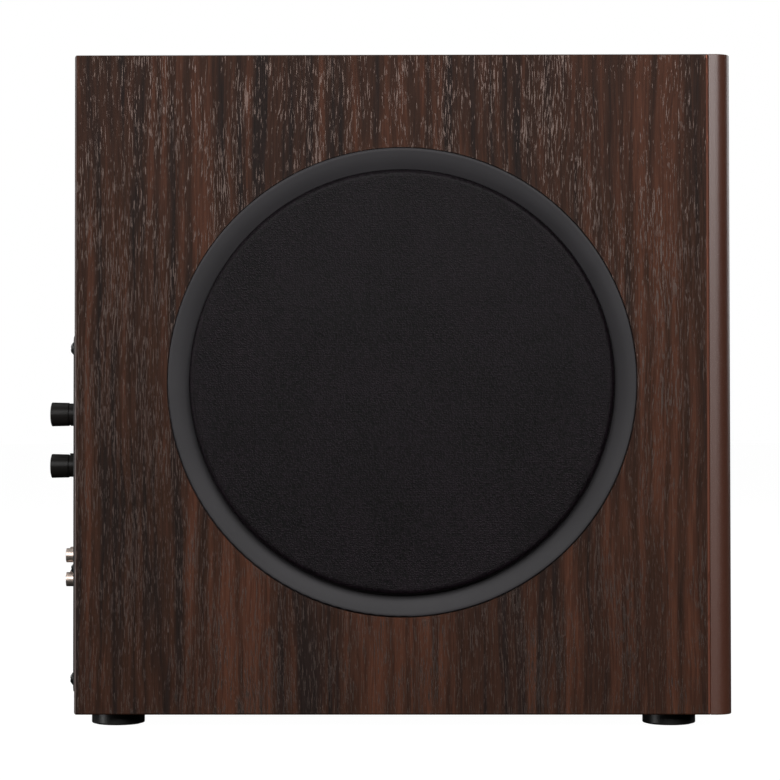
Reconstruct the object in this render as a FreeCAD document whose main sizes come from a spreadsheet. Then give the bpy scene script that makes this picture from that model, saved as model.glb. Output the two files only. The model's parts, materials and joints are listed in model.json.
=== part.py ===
import FreeCAD, Part

import math
import os

import Sketcher

"""A side-firing active subwoofer, as an assembly of its separate pieces, in millimetres.

X runs across the cabinet, with the driver on the -X side. The front panel faces -Y, the amplifier +Y, and
+Z is up. The origin is on the floor, under the middle of the whole object's box."""

Vector = FreeCAD.Vector
doc = FreeCAD.newDocument("subwoofer")

# ---------------------------------------------------------------- driving dimensions

SIZES = {
    # cabinet of wrapped boards
    "cab_width": 240, "cab_height": 375, "board_depth": 361, "board": 15, "rear_board": 12,
    "rear_round": 1.7, "long_ease": 1.0, "joint_bevel": 0.6,
    "fascia_thick": 12.4, "fascia_round": 9, "fascia_ease": 0.6,
    "batten": 16, "wadding_thick": 20, "wadding_gap": 1.5,
    # feet
    "foot_height": 8, "foot_radius": 15.25, "foot_round": 0.8, "foot_side_inset": 32, "foot_rear_inset": 22,
    "foot_front_inset": 21, "pad_radius": 13.4, "pad_thick": 2.4, "pad_proud": 0.4, "foot_screw_length": 11,
    # port and power lamp on the front
    "port_up": 72, "port_bore": 31.5, "port_wall": 2, "port_length": 150, "port_socket": 18,
    "flare_radius": 44, "flare_proud": 2, "flare_neck": 36, "flare_depth": 24, "flare_round": 9.5,
    "lamp_up": 335, "lamp_radius": 2.5, "lamp_proud": 1.0,
    # driver: depths run inward from the side panel's outer face
    "driver_from_rear": 186.4, "driver_up": 188.6, "mount_depth": 12, "mount_half": 128,
    "cutout_radius": 93.5, "frame_radius": 102.5, "frame_sheet": 1.5, "frame_back": 60, "shelf_depth": 47,
    "shelf_radius": 58, "can_radius": 50, "screw_circle": 97.5, "driver_screws": 8,
    "roll_outer": 91, "roll_inner": 79, "roll_rise": 6.5, "roll_sheet": 0.8,
    "cone_lip": 13.7, "cone_neck": 42, "cone_paper": 1.0, "cap_radius": 32, "cap_rise": 9,
    "coil_inner": 18.7, "former_sheet": 0.3, "coil_wire": 1.0, "coil_height": 18,
    "gap_inner": 18.2, "gap_outer": 20.8, "plate_thick": 6, "plate_radius": 48, "magnet_radius": 55,
    "magnet_thick": 18, "yoke_radius": 50, "vent_radius": 6,
    # trim ring and removable grille
    "ring_radius": 133.25, "ring_seat": 4, "ring_proud": 1.0, "ring_gap": 0.4, "groove_radius": 121.2,
    "dish_depth": 2.2, "dish_bow": 26.6,
    "ring_floor": 4.5, "floor_thick": 2.5, "ring_inner": 104, "ring_body": 123.6, "peg_circle": 112.5,
    "grille_proud": 5.5, "cloth_radius": 120.5, "cloth_edge": 3, "cloth_thick": 0.9, "peg_radius": 3,
    "socket_radius": 4.5,
    # amplifier on the rear
    "plate_inset": 13, "amp_low": 11.6, "amp_high": 215.2, "amp_sheet": 1.5, "gasket": 0.5,
    "plate_corner": 4, "hole_inset": 30, "hole_low": 30, "hole_high": 205, "amp_screw_inset": 7,
    "knob_reach": 19.2, "knob_inset": 45, "level_up": 170.3, "crossover_up": 140.2,
    "knob_radius": 7, "skirt_radius": 6.4, "skirt_length": 5.4, "shaft_radius": 3,
    "jack_inset": 50, "jack_pitch": 18, "jack_row": 14, "jack_up": 80.8, "jack_radius": 4.15, "jack_reach": 7,
    "block_half": 28, "block_tall": 32, "block_sheet": 1.5, "block_screw": 23,
    "inlet_inset": 185, "inlet_up": 62, "switch_up": 104, "phase_inset": 100, "phase_up": 155,
    "phase_travel": 3, "rocker_tilt": 10,
    "cable_radius": 2.3, "coil_lead_radius": 0.55,
}

sheet = doc.addObject("Spreadsheet::Sheet", "dim")
for row, (alias, size) in enumerate(SIZES.items(), 1):
    sheet.set(f"A{row}", alias)
    sheet.set(f"B{row}", str(size))
    sheet.setAlias(f"B{row}", alias)
doc.recompute()

# Planes and axes of the object, as expressions in the sheet's cells.
LEFT = "(dim.grille_proud - (dim.cab_width + dim.grille_proud) / 2)"
RIGHT = f"({LEFT} + dim.cab_width)"
MID_X = f"({LEFT} + dim.cab_width / 2)"
FRONT = "(dim.flare_proud - (dim.flare_proud + dim.fascia_thick + dim.board_depth + dim.knob_reach) / 2)"
BOARD_FRONT = f"({FRONT} + dim.fascia_thick)"
REAR = f"({BOARD_FRONT} + dim.board_depth)"
PLATE_IN = f"({REAR} + dim.gasket)"
PLATE_OUT = f"({PLATE_IN} + dim.amp_sheet)"
BASE = "dim.foot_height"
TOP = "(dim.foot_height + dim.cab_height)"
AXIS_Y = f"({REAR} - dim.driver_from_rear)"
AXIS_Z = f"({BASE} + dim.driver_up)"

# How a turned piece's own axis, its local +X, is laid in the object.
ALONG_X = FreeCAD.Rotation()
ALONG_Y = FreeCAD.Rotation(Vector(0, 0, 1), 90)
ALONG_Z = FreeCAD.Rotation(Vector(0, 1, 0), -90)
# How a cylinder's axis, its local +Z, is laid.
ROD_X = FreeCAD.Rotation(Vector(0, 1, 0), 90)
ROD_Y = FreeCAD.Rotation(Vector(1, 0, 0), -90)
ROD_Z = FreeCAD.Rotation()

DRIVER = (LEFT, AXIS_Y, AXIS_Z)
subparts = []


# ---------------------------------------------------------------- helpers

def number(expression):
    """The value that an expression in the sheet's cells has now."""
    found = sheet.evalExpression(str(expression))
    return float(getattr(found, "Value", found))


def keep(piece, label):
    """Makes an object one of the sub-parts that are written out."""
    piece.Label = label
    subparts.append(piece)
    return piece


def place(piece, at, turn=None):
    """Binds an object's position to expressions, and sets how it is turned."""
    if turn is not None:
        piece.Placement = FreeCAD.Placement(Vector(), turn)
    for axis, expression in zip("xyz", at):
        piece.setExpression(f"Placement.Base.{axis}", str(expression))
    return piece


def new(kind, name):
    return doc.addObject(kind, name)


def block(name, x, y, z):
    """A box between pairs of expressions."""
    box = new("Part::Box", name)
    for side, (low, high) in zip(("Length", "Width", "Height"), (x, y, z)):
        box.setExpression(side, f"({high}) - ({low})")
    return place(box, (x[0], y[0], z[0]))


def rod(name, at, turn, radius, length):
    """A cylinder that starts at a point and runs along its axis."""
    cylinder = new("Part::Cylinder", name)
    cylinder.setExpression("Radius", str(radius))
    cylinder.setExpression("Height", str(length))
    return place(cylinder, at, turn)


def fuse(name, *pieces):
    joined = new("Part::MultiFuse", name)
    joined.Shapes = list(pieces)
    return joined


def cut(name, base, *tools):
    """The base less its tools."""
    less = new("Part::Cut", name)
    less.Base = base
    less.Tool = tools[0] if len(tools) == 1 else fuse(name + "_tools", *tools)
    return less


def common(name, base, tool):
    both = new("Part::Common", name)
    both.Base = base
    both.Tool = tool
    return both


def group(name, pieces):
    """Separate solids that share one node."""
    several = new("Part::Compound", name)
    several.Links = list(pieces)
    return several


def bind(sketch, constraint, expression):
    """Adds a dimension to a sketch and binds it to an expression."""
    index = sketch.addConstraint(constraint)
    sketch.setExpression(f"Constraints[{index}]", str(expression))


def pin_point(sketch, geometry, point, x, y):
    """Dimensions a sketch point from the sketch's origin."""
    bind(sketch, Sketcher.Constraint("DistanceX", -1, 1, geometry, point, number(x)), x)
    bind(sketch, Sketcher.Constraint("DistanceY", -1, 1, geometry, point, number(y)), y)


def corner_ends(before, at, after, radius):
    """Where a corner's arc of that radius meets the two lines beside it, and the arc's middle."""
    one = (before - at).normalize()
    two = (after - at).normalize()
    half = one.getAngle(two) / 2
    reach = radius / math.tan(half)
    bisector = (one + two).normalize()
    centre = at + bisector * (radius / math.sin(half))
    return at + one * reach, centre - bisector * radius, at + two * reach


def outline(sketch, corners):
    """A closed outline. A corner is (x, y), (x, y, radius) where it is rounded, or (x, y, "bow", radius)
    where an arc of that radius runs from it to the next corner, bowing to the left of travel if positive."""
    spots = [Vector(number(c[0]), number(c[1]), 0) for c in corners]
    count = len(spots)
    arcs = {}
    for i, corner in enumerate(corners):
        if len(corner) == 3:
            arcs[i] = corner_ends(spots[i - 1], spots[i], spots[(i + 1) % count], number(corner[2]))
    sides = []
    for i, corner in enumerate(corners):
        after = (i + 1) % count
        start = arcs[i][2] if i in arcs else spots[i]
        end = arcs[after][0] if after in arcs else spots[after]
        if len(corner) == 4:
            radius = abs(number(corner[3]))
            chord = end - start
            rise = radius - math.sqrt(radius ** 2 - (chord.Length / 2) ** 2)
            left = Vector(-chord.y, chord.x, 0).normalize() * math.copysign(rise, number(corner[3]))
            middle = (start + end) / 2 + left
            side = sketch.addGeometry(Part.Arc(start, middle, end))
            # An arc in a sketch runs anticlockwise: its first point is the start only if it turns that way.
            forward = (middle - start).cross(end - middle).z > 0
            sides.append((side, 1 if forward else 2, 2 if forward else 1))
            bind(sketch, Sketcher.Constraint("Radius", side, radius), f"abs({corner[3]})")
        else:
            sides.append((sketch.addGeometry(Part.LineSegment(start, end)), 1, 2))
    for i, corner in enumerate(corners):
        into, out_of = sides[i - 1], sides[i]
        if i not in arcs:
            sketch.addConstraint(Sketcher.Constraint("Coincident", into[0], into[2], out_of[0], out_of[1]))
            pin_point(sketch, out_of[0], out_of[1], corner[0], corner[1])
            continue
        start, middle, end = arcs[i]
        arc = sketch.addGeometry(Part.Arc(start, middle, end))
        forward = (middle - start).cross(end - middle).z > 0
        first, last = (1, 2) if forward else (2, 1)
        sketch.addConstraint(Sketcher.Constraint("Tangent", into[0], into[2], arc, first))
        sketch.addConstraint(Sketcher.Constraint("Tangent", arc, last, out_of[0], out_of[1]))
        bind(sketch, Sketcher.Constraint("Radius", arc, number(corner[2])), corner[2])
        apex = sketch.addGeometry(Part.Point(spots[i]), True)
        pin_point(sketch, apex, 1, corner[0], corner[1])
        sketch.addConstraint(Sketcher.Constraint("PointOnObject", apex, 1, into[0]))
        sketch.addConstraint(Sketcher.Constraint("PointOnObject", apex, 1, out_of[0]))


def circle(sketch, x, y, radius):
    """A full circle, dimensioned from the sketch's origin."""
    ring = sketch.addGeometry(Part.Circle(Vector(number(x), number(y), 0), Vector(0, 0, 1), number(radius)))
    pin_point(sketch, ring, 3, x, y)
    bind(sketch, Sketcher.Constraint("Radius", ring, number(radius)), radius)


def rectangle(x, y, wide, tall, radius=None):
    """The corners of a centred rectangle, all of them rounded if there is a radius."""
    rounding = () if radius is None else (radius,)
    return [(f"({x}) {a} ({wide}) / 2", f"({y}) {b} ({tall}) / 2") + rounding
            for a, b in (("-", "-"), ("+", "-"), ("+", "+"), ("-", "+"))]


def sketch_in(body, name, role, outlines=(), circles=(), offset=None):
    """A sketch on one of a body's origin planes."""
    sketch = body.newObject("Sketcher::SketchObject", name)
    plane = [feature for feature in body.Origin.OriginFeatures if feature.Role == role][0]
    sketch.AttachmentSupport = [(plane, "")]
    sketch.MapMode = "FlatFace"
    if offset is not None:
        sketch.setExpression("AttachmentOffset.Base.z", str(offset))
    for corners in outlines:
        outline(sketch, corners)
    for ring in circles:
        circle(sketch, *ring)
    return sketch


def turned(name, corners, at, turn=ALONG_X):
    """A body turned about its own X axis from an outline of (along, radius) corners."""
    body = new("PartDesign::Body", name)
    sketch = sketch_in(body, name + "_section", "XY_Plane", [corners])
    solid = body.newObject("PartDesign::Revolution", name + "_turn")
    solid.Profile = sketch
    solid.ReferenceAxis = (sketch, ["H_Axis"])
    solid.Angle = 360
    return place(body, at, turn)


def pad(name, role, length, at, outlines=(), circles=(), turn=None):
    """A body padded from a sketch. XY_Plane pads towards +Z, XZ_Plane towards -Y and YZ_Plane towards +X."""
    body = new("PartDesign::Body", name)
    sketch = sketch_in(body, name + "_sketch", role, outlines, circles)
    solid = body.newObject("PartDesign::Pad", name + "_pad")
    solid.Profile = sketch
    solid.setExpression("Length", str(length))
    return place(body, at, turn)


def pocket_round(body, name, radius, circle_radius, count, start_deg, offset, depth):
    """Round holes through a turned body, in a ring about its axis, cut towards its +X from an offset."""
    sketch = sketch_in(body, name + "_sketch", "YZ_Plane", offset=offset, circles=[
        (f"({circle_radius}) * cos({start_deg} deg)", f"({circle_radius}) * sin({start_deg} deg)", radius)])
    hole = body.newObject("PartDesign::Pocket", name)
    hole.Profile = sketch
    hole.Reversed = True
    hole.setExpression("Length", str(depth))
    return ring_of(body, name, hole, sketch, count)


def ring_of(body, name, feature, sketch, count):
    """Repeats a body's feature about the normal of its sketch."""
    doc.recompute()
    before = feature.Shape.Volume
    pattern = body.newObject("PartDesign::PolarPattern", name + "_ring")
    pattern.Originals = [feature]
    pattern.Axis = (sketch, ["N_Axis"])
    pattern.Angle = 360
    pattern.Occurrences = count
    body.Tip = pattern
    doc.recompute()
    if abs(pattern.Shape.Volume - before) < 1e-3:
        raise RuntimeError(f"{name}: the pattern changed nothing")
    return body


def round_edges(body, name, radius, wanted, kind="PartDesign::Fillet"):
    """Rounds, or bevels, the edges of a body's last feature that a test picks."""
    doc.recompute()
    last = body.Tip
    edges = [f"Edge{i}" for i, edge in enumerate(last.Shape.Edges, 1) if wanted(edge.BoundBox)]
    feature = body.newObject(kind, name)
    feature.Base = (last, edges)
    feature.setExpression("Radius" if kind.endswith("Fillet") else "Size", str(radius))
    doc.recompute()
    return body


def polar(radius, degrees):
    """A point on a circle about the driver's axis, as expressions for y and z."""
    return (f"({AXIS_Y} + ({radius}) * cos({degrees} deg))", f"({AXIS_Z} + ({radius}) * sin({degrees} deg))")


# ---------------------------------------------------------------- cabinet

def wrapped_board(name, top_or_side, low, high, outer, inner):
    """One of the four wrapped boards, mitred where it meets its neighbours. Its outer face is at outer and
    its inner face at inner; low and high are the box's faces that it runs between. The long outer edges are
    eased by an arc, of which each board has half, the rear edge is rounded and the front edge is bevelled."""
    out = "-" if number(outer) > number(inner) else "+"
    arc_dip = "dim.long_ease * 0.29289"
    section = [
        (f"({low}) + {arc_dip}", f"({outer}) {out} {arc_dip}", "bow", "dim.long_ease"),
        (f"({low}) + dim.long_ease", outer),
        (f"({high}) - dim.long_ease", outer, "bow", "dim.long_ease"),
        (f"({high}) - {arc_dip}", f"({outer}) {out} {arc_dip}"),
        (f"({high}) - dim.board", inner), (f"({low}) + dim.board", inner)]
    profile = [
        (f"{BOARD_FRONT} + dim.joint_bevel", outer), (REAR, outer, "dim.rear_round"), (REAR, inner),
        (BOARD_FRONT, inner), (BOARD_FRONT, f"({outer}) {out} dim.joint_bevel")]
    if not top_or_side:
        section = [(y, x, *rest) for x, y, *rest in section]
    bowed = number(outer) > number(inner)
    if bowed != top_or_side:
        section = [(*corner[:3], f"-{corner[3]}") if len(corner) == 4 else corner for corner in section]
    across = pad(name + "_section", "XZ_Plane", "dim.board_depth + 4", ("0", f"{REAR} + 2", "0"), [section])
    if top_or_side:
        along = pad(name + "_profile", "YZ_Plane", "dim.cab_width + 4", (f"{LEFT} - 2", "0", "0"), [profile])
    else:
        flipped = [(y, x, *rest) for x, y, *rest in profile]
        along = pad(name + "_profile", "XY_Plane", "dim.cab_height + 4", ("0", "0", f"{BASE} - 2"), [flipped])
    return common(name, across, along)


def foot_places():
    """The four feet's centres, as expressions for x and y."""
    return [(x, y) for x in (f"({LEFT} + dim.foot_side_inset)", f"({RIGHT} - dim.foot_side_inset)")
            for y in (f"({BOARD_FRONT} + dim.foot_front_inset)", f"({REAR} - dim.foot_rear_inset)")]


def cabinet():
    """The wrapped boards, the two boards inset between them, and the wood inside."""
    inner_left, inner_right = f"({LEFT} + dim.board)", f"({RIGHT} - dim.board)"
    inner_base, inner_top = f"({BASE} + dim.board)", f"({TOP} - dim.board)"
    keep(wrapped_board("top", True, LEFT, RIGHT, TOP, inner_top), "top_panel")
    floor = wrapped_board("floor", True, LEFT, RIGHT, BASE, inner_base)
    pilots = [rod(f"foot_pilot_{i}", (x, y, f"{BASE} - 1"), ROD_Z, 2.0, "dim.foot_screw_length + 1.5")
              for i, (x, y) in enumerate(foot_places())]
    pilots.append(rod("clamp_pilot", (TORUS_X, TORUS_Y, f"{BASE} + 6"), ROD_Z, 2.05, 12))
    keep(cut("floor_drilled", floor, *pilots), "bottom_panel")
    side = wrapped_board("side", False, BASE, TOP, LEFT, inner_left)
    rebate = rod("ring_rebate", (f"{LEFT} - 5", AXIS_Y, AXIS_Z), ROD_X, "dim.ring_radius + dim.ring_gap",
                 "dim.ring_seat + 5")
    opening = rod("ring_opening", (f"{LEFT} - 5", AXIS_Y, AXIS_Z), ROD_X, "dim.ring_body + dim.ring_gap",
                  "dim.board + 10")
    keep(cut("side_opened", side, rebate, opening), "driver_side_panel")
    keep(wrapped_board("far_side", False, BASE, TOP, RIGHT, inner_right), "plain_side_panel")

    rear = block("rear_blank", (inner_left, inner_right), (f"{REAR} - dim.rear_board", REAR),
                 (inner_base, inner_top))
    window = block("amp_window", (f"{LEFT} + dim.hole_inset", f"{RIGHT} - dim.hole_inset"),
                   (f"{REAR} - 30", f"{REAR} + 5"), (f"{BASE} + dim.hole_low", f"{BASE} + dim.hole_high"))
    pilots = [rod(f"amp_pilot_{i}", (x, f"{REAR} - 11", z), ROD_Y, 1.75, 12)
              for i, (x, z) in enumerate(plate_screw_places())]
    keep(cut("rear_cut", rear, window, *pilots), "rear_panel")

    front = block("front_blank", (inner_left, inner_right), (BOARD_FRONT, f"{BOARD_FRONT} + dim.board"),
                  (inner_base, inner_top))
    port = rod("port_hole", (MID_X, f"{BOARD_FRONT} - 1", f"{BASE} + dim.port_up"), ROD_Y,
               "dim.flare_neck + 0.3", "dim.board + 2")
    lamp = rod("lamp_hole", (MID_X, f"{BOARD_FRONT} - 1", f"{BASE} + dim.lamp_up"), ROD_Y,
               "dim.lamp_radius + 0.8", "dim.board + 2")
    keep(cut("front_drilled", front, port, lamp), "front_baffle")

    mount = block("mount_blank", (inner_left, f"{inner_left} + dim.mount_depth"),
                  (f"{AXIS_Y} - dim.mount_half", f"{AXIS_Y} + dim.mount_half"),
                  (f"{AXIS_Z} - dim.mount_half", f"{AXIS_Z} + dim.mount_half"))
    holes = [rod("driver_cutout", (f"{LEFT} + 5", AXIS_Y, AXIS_Z), ROD_X, "dim.cutout_radius", 40)]
    holes += [rod(f"driver_pilot_{i}", (f"{LEFT} + 10", *polar("dim.screw_circle", angle)), ROD_X, 1.75, 16)
              for i, angle in enumerate(driver_screw_angles())]
    holes += [rod(f"ring_pilot_{i}", (f"{LEFT} + 10", *polar("dim.peg_circle", angle)), ROD_X, 1.75, 15)
              for i, angle in enumerate(RING_SCREW_ANGLES)]
    keep(cut("mount_cut", mount, *holes), "driver_mounting_board")

    sticks = []
    for i, x in enumerate((inner_left, f"({inner_right} - dim.batten)")):
        for j, z in enumerate((inner_base, f"({inner_top} - dim.batten)")):
            sticks.append(block(f"batten_{i}{j}", (x, f"{x} + dim.batten"),
                                (f"{BOARD_FRONT} + dim.board", f"{REAR} - dim.rear_board"),
                                (z, f"{z} + dim.batten")))
    keep(group("battens", sticks), "corner_battens")
    wool_right = f"{inner_right} - dim.wadding_gap"
    wool = block("wool", (f"{wool_right} - dim.wadding_thick", wool_right),
                 (f"{BOARD_FRONT} + 40", f"{REAR} - 90"), (f"{BASE} + 130", f"{TOP} - 40"))
    keep(wool, "acoustic_wadding")


def fascia():
    """The front panel, with its two upright edges rounded."""
    body = pad("fascia_blank", "XY_Plane", "dim.cab_height", ("0", "0", BASE), [[
        (LEFT, BOARD_FRONT), (RIGHT, BOARD_FRONT), (RIGHT, FRONT, "dim.fascia_round"),
        (LEFT, FRONT, "dim.fascia_round")]])
    height, back = number("dim.cab_height"), number(BOARD_FRONT)
    round_edges(body, "fascia_easing", "dim.fascia_ease",
                lambda b: b.ZMax - b.ZMin < 1e-6 and (abs(b.ZMax) < 1e-6 or abs(b.ZMax - height) < 1e-6)
                and b.YMin < back - 1e-6)
    port = rod("fascia_port", (MID_X, f"{FRONT} - 1", f"{BASE} + dim.port_up"), ROD_Y,
               "dim.flare_neck + 0.3", "dim.fascia_thick + 2")
    lamp = rod("fascia_lamp", (MID_X, f"{FRONT} - 1", f"{BASE} + dim.lamp_up"), ROD_Y,
               "dim.lamp_radius + 0.1", "dim.fascia_thick + 2")
    keep(cut("fascia_cut", body, port, lamp), "front_fascia")


def feet():
    """Four screwed plastic feet, each with a rubber pad under it."""
    caps, pads, screws = [], [], []
    seat, bore, recess = "(dim.pad_thick + 3)", 2.2, "(dim.pad_radius + 0.2)"
    for i, (x, y) in enumerate(foot_places()):
        at = (x, y, "0")
        caps.append(turned(f"foot_cap_{i}", [
            (BASE, bore), (BASE, "dim.foot_radius", 0.4),
            ("dim.pad_proud", "dim.foot_radius", "dim.foot_round"), ("dim.pad_proud", recess),
            ("dim.pad_thick", recess), ("dim.pad_thick", 4.4), (seat, 4.4), (seat, bore)],
            at, ALONG_Z))
        pads.append(turned(f"foot_pad_{i}", [
            (0, 0), (0, "dim.pad_radius", 0.3), ("dim.pad_thick", "dim.pad_radius"), ("dim.pad_thick", 0)],
            at, ALONG_Z))
        tip = f"({BASE} + dim.foot_screw_length)"
        screws.append(turned(f"foot_screw_{i}", [
            (f"{seat} - 2.4", 0), (f"{seat} - 2.4", 3.9, 1.0), (seat, 3.9), (seat, 1.9), (f"{tip} - 2", 1.9),
            (tip, 0)], at, ALONG_Z))
    keep(group("caps", caps), "foot_caps")
    keep(group("pads", pads), "foot_pads")
    keep(group("screws", screws), "foot_screws")


def port():
    """The reflex port: a moulded flare on the front, and the tube that plugs into its back."""
    at = (MID_X, FRONT, f"{BASE} + dim.port_up")
    socket = "(dim.port_bore + dim.port_wall + 0.05)"
    flare = turned("flare", [
        (0, "dim.flare_radius"), ("-dim.flare_proud", "dim.flare_radius", 1.4),
        ("-dim.flare_proud", "dim.port_bore", "dim.flare_round"), ("dim.port_socket", "dim.port_bore"),
        ("dim.port_socket", socket), ("dim.flare_depth", socket), ("dim.flare_depth", "dim.flare_neck"),
        (0, "dim.flare_neck")], at, ALONG_Y)
    keep(flare, "port_flare")
    outer = "(dim.port_bore + dim.port_wall)"
    tube = turned("tube", [
        ("dim.port_socket", "dim.port_bore"), ("dim.port_length", "dim.port_bore", 0.9),
        ("dim.port_length", outer, 0.9), ("dim.port_socket", outer)], at, ALONG_Y)
    keep(tube, "port_tube")


def power_lamp():
    """The light pipe of the power lamp, through the front panel."""
    at = (MID_X, FRONT, f"{BASE} + dim.lamp_up")
    pipe = turned("pipe", [
        ("-dim.lamp_proud", 0), ("-dim.lamp_proud", "dim.lamp_radius", 0.9),
        ("dim.fascia_thick + 0.1", "dim.lamp_radius"), ("dim.fascia_thick + 0.1", "dim.lamp_radius + 0.6"),
        ("dim.fascia_thick + 8", "dim.lamp_radius + 0.6"), ("dim.fascia_thick + 8", 0)], at, ALONG_Y)
    keep(pipe, "power_lamp_lens")


# ---------------------------------------------------------------- driver

RING_SCREW_ANGLES = (0, 90, 180, 270)
PEG_ANGLES = (45, 135, 225, 315)
FRAME_FACE = "(dim.board - dim.frame_sheet)"


def driver_screw_angles():
    count = int(number("dim.driver_screws"))
    return [(i + 0.5) * 360 / count for i in range(count)]


def basket():
    """The pressed steel frame: flange, six-windowed cone, spider shelf and can."""
    sheet_in = "dim.frame_sheet"
    body = turned("basket", [
        (FRAME_FACE, "dim.frame_radius"), ("dim.board", "dim.frame_radius"),
        ("dim.board", "dim.cutout_radius - 0.8"), ("dim.shelf_depth + dim.frame_sheet", "dim.shelf_radius"),
        ("dim.shelf_depth + dim.frame_sheet", "dim.can_radius + dim.frame_sheet"),
        ("dim.frame_back + dim.frame_sheet", "dim.can_radius + dim.frame_sheet"),
        ("dim.frame_back + dim.frame_sheet", 24), ("dim.frame_back", 24),
        ("dim.frame_back", "dim.can_radius"), ("dim.shelf_depth", "dim.can_radius"),
        ("dim.shelf_depth", f"dim.shelf_radius - {sheet_in}"),
        (FRAME_FACE, f"dim.cutout_radius - 0.8 - {sheet_in}")], DRIVER)
    corners = [(54, -20), (88, -33), (88, 33), (54, 20)]
    sketch = sketch_in(body, "window_sketch", "YZ_Plane", offset=21, outlines=[
        [(x, y, 5) for x, y in corners]])
    window = body.newObject("PartDesign::Pocket", "window")
    window.Profile = sketch
    window.Reversed = True
    window.setExpression("Length", "dim.shelf_depth - 21 - 3")
    ring_of(body, "window", window, sketch, 6)
    pocket_round(body, "flange_hole", 2.3, "dim.screw_circle", int(number("dim.driver_screws")),
                 driver_screw_angles()[0], 5, 20)
    keep(body, "driver_basket")


def driver_screws():
    screws = []
    for i, angle in enumerate(driver_screw_angles()):
        head = f"({FRAME_FACE} - dim.roll_sheet - 1.6)"
        screws.append(turned(f"driver_screw_{i}", [
            (f"{head} - 2.2", 0), (f"{head} - 2.2", 3.4, 0.9), (head, 3.4), (head, 1.7), (24, 1.7), (26, 0)],
            (LEFT, *polar("dim.screw_circle", angle))))
    keep(group("driver_screw_set", screws), "driver_screws")


def gasket():
    """The ring that clamps the surround's rim to the frame."""
    back = f"({FRAME_FACE} - dim.roll_sheet)"
    body = turned("clamp_ring", [
        (back, "dim.roll_outer + 0.6"), (f"{back} - 1.6", "dim.roll_outer + 0.6", 0.5),
        (f"{back} - 1.6", "dim.frame_radius", 0.5), (back, "dim.frame_radius")], DRIVER)
    pocket_round(body, "clamp_hole", 2.3, "dim.screw_circle", int(number("dim.driver_screws")),
                 driver_screw_angles()[0], 5, 20)
    keep(body, "driver_gasket")


def surround():
    """The rubber half roll between the frame and the cone, with the flat rims that are glued down."""
    half = "((dim.roll_outer - dim.roll_inner) / 2)"
    outer_face, inner_face = f"({FRAME_FACE} - dim.roll_sheet)", f"({FRAME_FACE} - dim.roll_sheet)"
    body = turned("roll", [
        (FRAME_FACE, "dim.frame_radius - 0.5"), (outer_face, "dim.frame_radius - 0.5"),
        (outer_face, "dim.roll_outer", "bow", f"-({half} + 0.6)"), (inner_face, "dim.roll_inner"),
        (inner_face, "dim.roll_inner - 4"), (FRAME_FACE, "dim.roll_inner - 4"),
        (FRAME_FACE, "dim.roll_inner + dim.roll_sheet", "bow", f"{half} - dim.roll_sheet + 0.6"),
        (FRAME_FACE, "dim.roll_outer - dim.roll_sheet")], DRIVER)
    pocket_round(body, "rim_hole", 2.3, "dim.screw_circle", int(number("dim.driver_screws")),
                 driver_screw_angles()[0], 5, 20)
    keep(body, "driver_surround")


CAP_SEAT = ("(dim.cone_lip + (dim.roll_inner - dim.cap_radius) / (dim.roll_inner - dim.coil_inner)"
            " * (dim.cone_neck - dim.cone_lip))")
FORMER_OUT = "(dim.coil_inner + dim.former_sheet)"


def moving_parts():
    """What the coil drives: cone, dust cap, coil former and winding."""
    lip = "(dim.cone_lip - 0.1)"
    keep(turned("cone", [
        ("dim.cone_neck", FORMER_OUT), (lip, "dim.roll_inner - 4.6"), (lip, "dim.roll_inner + 0.2"),
        (f"{lip} + dim.cone_paper", "dim.roll_inner + 0.2"),
        (f"{lip} + dim.cone_paper", "dim.roll_inner - 3.4"),
        ("dim.cone_neck + dim.cone_paper * 1.4", FORMER_OUT)], DRIVER), "driver_cone")
    rim = f"({CAP_SEAT} - 4.1)"
    bow = "((dim.cap_radius ^ 2 + dim.cap_rise ^ 2) / (2 * dim.cap_rise))"
    keep(turned("cap", [
        (f"{rim} - dim.cap_rise", 0), (f"{rim} - dim.cap_rise", 1, "bow", f"-{bow}"), (rim, "dim.cap_radius"),
        (f"{rim} + 1.2", "dim.cap_radius"), (f"{rim} + 1.2", "dim.cap_radius - 1.6", "bow", f"{bow} * 0.98"),
        (f"{rim} - dim.cap_rise + 0.9", 1), (f"{rim} - dim.cap_rise + 0.9", 0)],
        DRIVER), "dust_cap")
    coil_top = "(dim.frame_back + dim.frame_sheet + dim.plate_thick / 2 - dim.coil_height / 2)"
    keep(turned("former", [
        ("dim.cone_neck - 5", "dim.coil_inner"), (f"{coil_top} + dim.coil_height + 0.5", "dim.coil_inner"),
        (f"{coil_top} + dim.coil_height + 0.5", FORMER_OUT), ("dim.cone_neck - 5", FORMER_OUT)], DRIVER),
        "voice_coil_former")
    keep(turned("winding", [
        (coil_top, FORMER_OUT), (f"{coil_top} + dim.coil_height", FORMER_OUT),
        (f"{coil_top} + dim.coil_height", f"{FORMER_OUT} + dim.coil_wire"),
        (coil_top, f"{FORMER_OUT} + dim.coil_wire")], DRIVER), "voice_coil_winding")


def spider():
    """The corrugated cloth disc that centres the coil, glued to the former and the frame's shelf."""
    thick, rise, waves = 0.5, 1.6, 4
    inner, outer = f"({FORMER_OUT} + 0.05)", "(dim.can_radius + 0.5)"
    face = f"(dim.shelf_depth - {thick} - 0.05)"
    steps = 2 * waves
    front = [(face, "dim.shelf_radius - dim.frame_sheet - 0.6")]
    for i in range(steps + 1):
        lift = 0 if i in (0, steps) else rise * (1 if i % 2 else -1)
        radius = f"({outer} + ({inner} + 4 - {outer}) * {i} / {steps})"
        front.append((f"{face} - {lift}", radius))
    front.append((face, inner))
    back = [(f"{along} + {thick}", radius) for along, radius in reversed(front)]
    keep(turned("damper", front + back, DRIVER), "driver_spider")


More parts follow.
